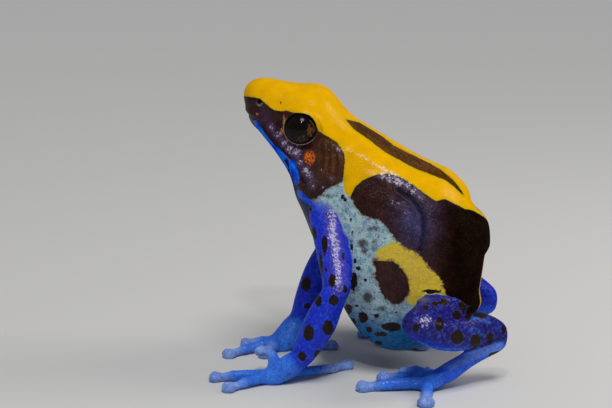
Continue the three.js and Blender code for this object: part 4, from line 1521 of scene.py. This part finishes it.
def skin_material():
    shader = SkinShader()
    spot = shader.mix(shader.mottle, *SPOT_COLOURS)
    jaw = shader.two_tone(shader.blotch, *JAW_BLOTCHES, JAW_COLOURS)
    gold = shader.two_tone(shader.fine, *GOLD_GRAIN, GOLD_COLOURS)
    soft_spots = shader.marking("soft_spots", ragged=0.9, softness=0.35)
    flank_yellow = shader.marking("flank_yellow", ragged=0.5, softness=0.12)
    spots = shader.marking("spots", ragged=0.25, softness=0.07, bend=0.5)
    fringe = shader.marking("dark", ragged=1.3, softness=0.2, shift=-0.25)
    fringe = shader.times(fringe, shader.ramp(shader.mottle, *FRINGE_MOTTLING))
    skin = shader.mix(soft_spots, shader.ground(), SOFT_SPOT_GREY)
    skin = shader.mix(flank_yellow, skin, shader.golden())
    skin = shader.mix(spots, skin, spot)
    skin = shader.mix(shader.times(fringe, FRINGE_SHARE), skin, FRINGE_BROWN)
    skin = shader.mix(shader.marking("dark", ragged=0.7, softness=0.1), skin, shader.dark())
    skin = shader.mix(shader.marking("jaw", ragged=0.3, softness=0.06), skin, jaw)
    skin = shader.mix(shader.marking("yellow", ragged=0.22, softness=0.05), skin, shader.yellow())
    # Painted glints: pale grains laid over all the colours
    skin = shader.mix(shader.painted_glints(), skin, GLINT_WHITE, "SCREEN")
    skin = shader.mix(shader.marking("drum", ragged=0.15, softness=0.06), skin, shader.drum())
    skin = shader.mix(shader.marking("gold", ragged=0.3, softness=0.08), skin, gold)
    skin = shader.mix(shader.marking("red", ragged=0.1, softness=0.05), skin, RED_MARK)
    # The eye's pale lid rim, and the painted highlight under the nostril
    skin = shader.mix(shader.value("lid"), skin, LID_RIM)
    wetness = shader.pattern(*WETNESS)
    grain = shader.times(shader.less(1.0, shader.granules), shader.value("grain"))
    bump = shader.add("ShaderNodeBump", {"Height": grain, "Strength": 0.9, "Distance": GRANULE_HEIGHT * MM})
    shader.set(shader.surface["Base Color"], skin)
    shader.set(shader.surface["Roughness"], shader.plus_times(wetness, 0.2, 0.3))
    shader.set(shader.surface["Specular IOR Level"], 0.0)
    shader.set(shader.surface["Coat Weight"], shader.value("gloss"))
    shader.set(shader.surface["Coat Roughness"], 0.15)
    shader.set(shader.surface["Normal"], bump.outputs[0])
    shader.set(shader.surface["Coat Normal"], bump.outputs[0])
    return shader.material


def eye_material():
    shader = Shader("glossy_eye")
    veins = shader.pattern(*VEINS)
    iris = shader.times(veins, shader.value("iris"))
    shader.set(shader.surface["Base Color"], shader.mix(iris, EYE_BLACK, IRIS_AMBER))
    shader.set(shader.surface["Roughness"], 0.2)
    shader.set(shader.surface["Specular IOR Level"], 0.0)
    shader.set(shader.surface["Coat Weight"], 0.33)
    shader.set(shader.surface["Coat Roughness"], 0.02)
    return shader.material


def build_eye(name, side, material):
    x, y, z = EYE
    eye = ball(name + "_ball", (x, y * side, z), (EYE_RADIUS,) * 3, segments=64)
    shade_smoothly(eye)
    _, ring, angle = eye_place(folded(points_of(eye)))
    down, back = IRIS_LEAN
    lower_rear = ramp(-down * np.sin(angle) - back * np.cos(angle), *IRIS_RANGE)
    add_values(eye, "iris", band(ring, *IRIS_BAND) * blend(IRIS_LEAST, 1.0, lower_rear))
    eye.data.materials.append(material)
    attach(eye, "root")
    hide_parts(name)


def shade_smoothly(obj):
    obj.data.polygons.foreach_set("use_smooth", [True] * len(obj.data.polygons))


def add_camera():
    eye, _, _, forward = camera_axes()
    data = bpy.data.cameras.new("camera")
    data.sensor_width = SENSOR_WIDTH
    data.lens = FOCAL_PIXELS / PHOTO_SIZE[0] * SENSOR_WIDTH
    data.clip_start = NEAR_CLIP
    camera = bpy.data.objects.new("camera", data)
    camera.location = place(*eye)
    camera.rotation_euler = Vector(forward).to_track_quat("-Z", "Y").to_euler()
    bpy.context.scene.collection.objects.link(camera)
    bpy.context.scene.camera = camera


def add_light(name, at, aim, size, power, colour=(1, 1, 1)):
    data = bpy.data.lights.new(name, "AREA")
    data.size = size * MM
    data.energy = power
    data.color = colour
    light = bpy.data.objects.new(name, data)
    light.location = place(*at)
    light.rotation_euler = (place(*aim) - place(*at)).to_track_quat("-Z", "Y").to_euler()
    bpy.context.scene.collection.objects.link(light)


def add_sun(towards, spread_degrees, strength):
    data = bpy.data.lights.new("sky", "SUN")
    data.angle = math.radians(spread_degrees)
    data.energy = strength
    sun = bpy.data.objects.new("sky", data)
    sun.rotation_euler = Vector(towards).to_track_quat("Z", "Y").to_euler()
    bpy.context.scene.collection.objects.link(sun)


def add_floor():
    deselect_all()
    bpy.ops.mesh.primitive_plane_add(size=4, location=(0, 0, 0))
    floor = bpy.context.object
    floor.name = "floor"
    material = bpy.data.materials.new("pale_floor")
    material.use_nodes = True
    surface = material.node_tree.nodes["Principled BSDF"].inputs
    surface["Base Color"].default_value = (*FLOOR_COLOUR, 1.0)
    surface["Roughness"].default_value = 0.75
    floor.data.materials.append(material)


def add_studio():
    """The pale floor, a dim sky and three soft lights."""
    add_floor()
    world = bpy.data.worlds.new("studio")
    world.use_nodes = True
    background = world.node_tree.nodes["Background"].inputs
    background["Color"].default_value = (*SKY_COLOUR, 1.0)
    background["Strength"].default_value = 0.2
    bpy.context.scene.world = world
    add_sun(towards=(0.1, -0.42, 0.9), spread_degrees=22, strength=1.35)
    add_light("front_box", (0, -160, 205), aim=(0, 0, 25), size=14, power=0.09)
    add_light("rear_box", (190, 20, 165), aim=(-2, 0, 28), size=100, power=0.16, colour=WARM_LIGHT)
    bpy.context.scene.view_settings.view_transform = "Standard"


def shaped_skin():
    """The finished shape of the skin: folds on the trunk first, then lids, thighs, limbs and digits."""
    skin = build_skin()
    refine(skin, on_face)
    refine(skin, on_fine_folds)
    refine(skin, on_crease(surface_tree(skin)))
    sculpt(skin, shape_trunk(surface_tree(skin)))
    sculpt(skin, open_lids)
    refine(skin, on_tips, fold=unfolded)
    refine(skin, on_border(skin), fold=unfolded)
    owners = nearest_nodes(points_of(skin))
    sculpt(skin, shape_thigh)
    border = trunk_border(skin, owners)
    set_points(skin, shape_limbs(surface_tree(skin), points_of(skin), normals_of(skin), border))
    relax(skin, np.ones(len(skin.data.vertices)), 1)
    set_points(skin, np.maximum(points_of(skin), (-np.inf, -np.inf, SOLE)))
    shade_smoothly(skin)
    return skin, owners


add_camera()
skin, owners = shaped_skin()
paint_skin(skin, owners)
skin.data.materials.append(skin_material())
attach(skin, "root")
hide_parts(*FLESH)
eye_look = eye_material()
build_eye("eye_left", 1, eye_look)
build_eye("eye_right", -1, eye_look)
add_studio()
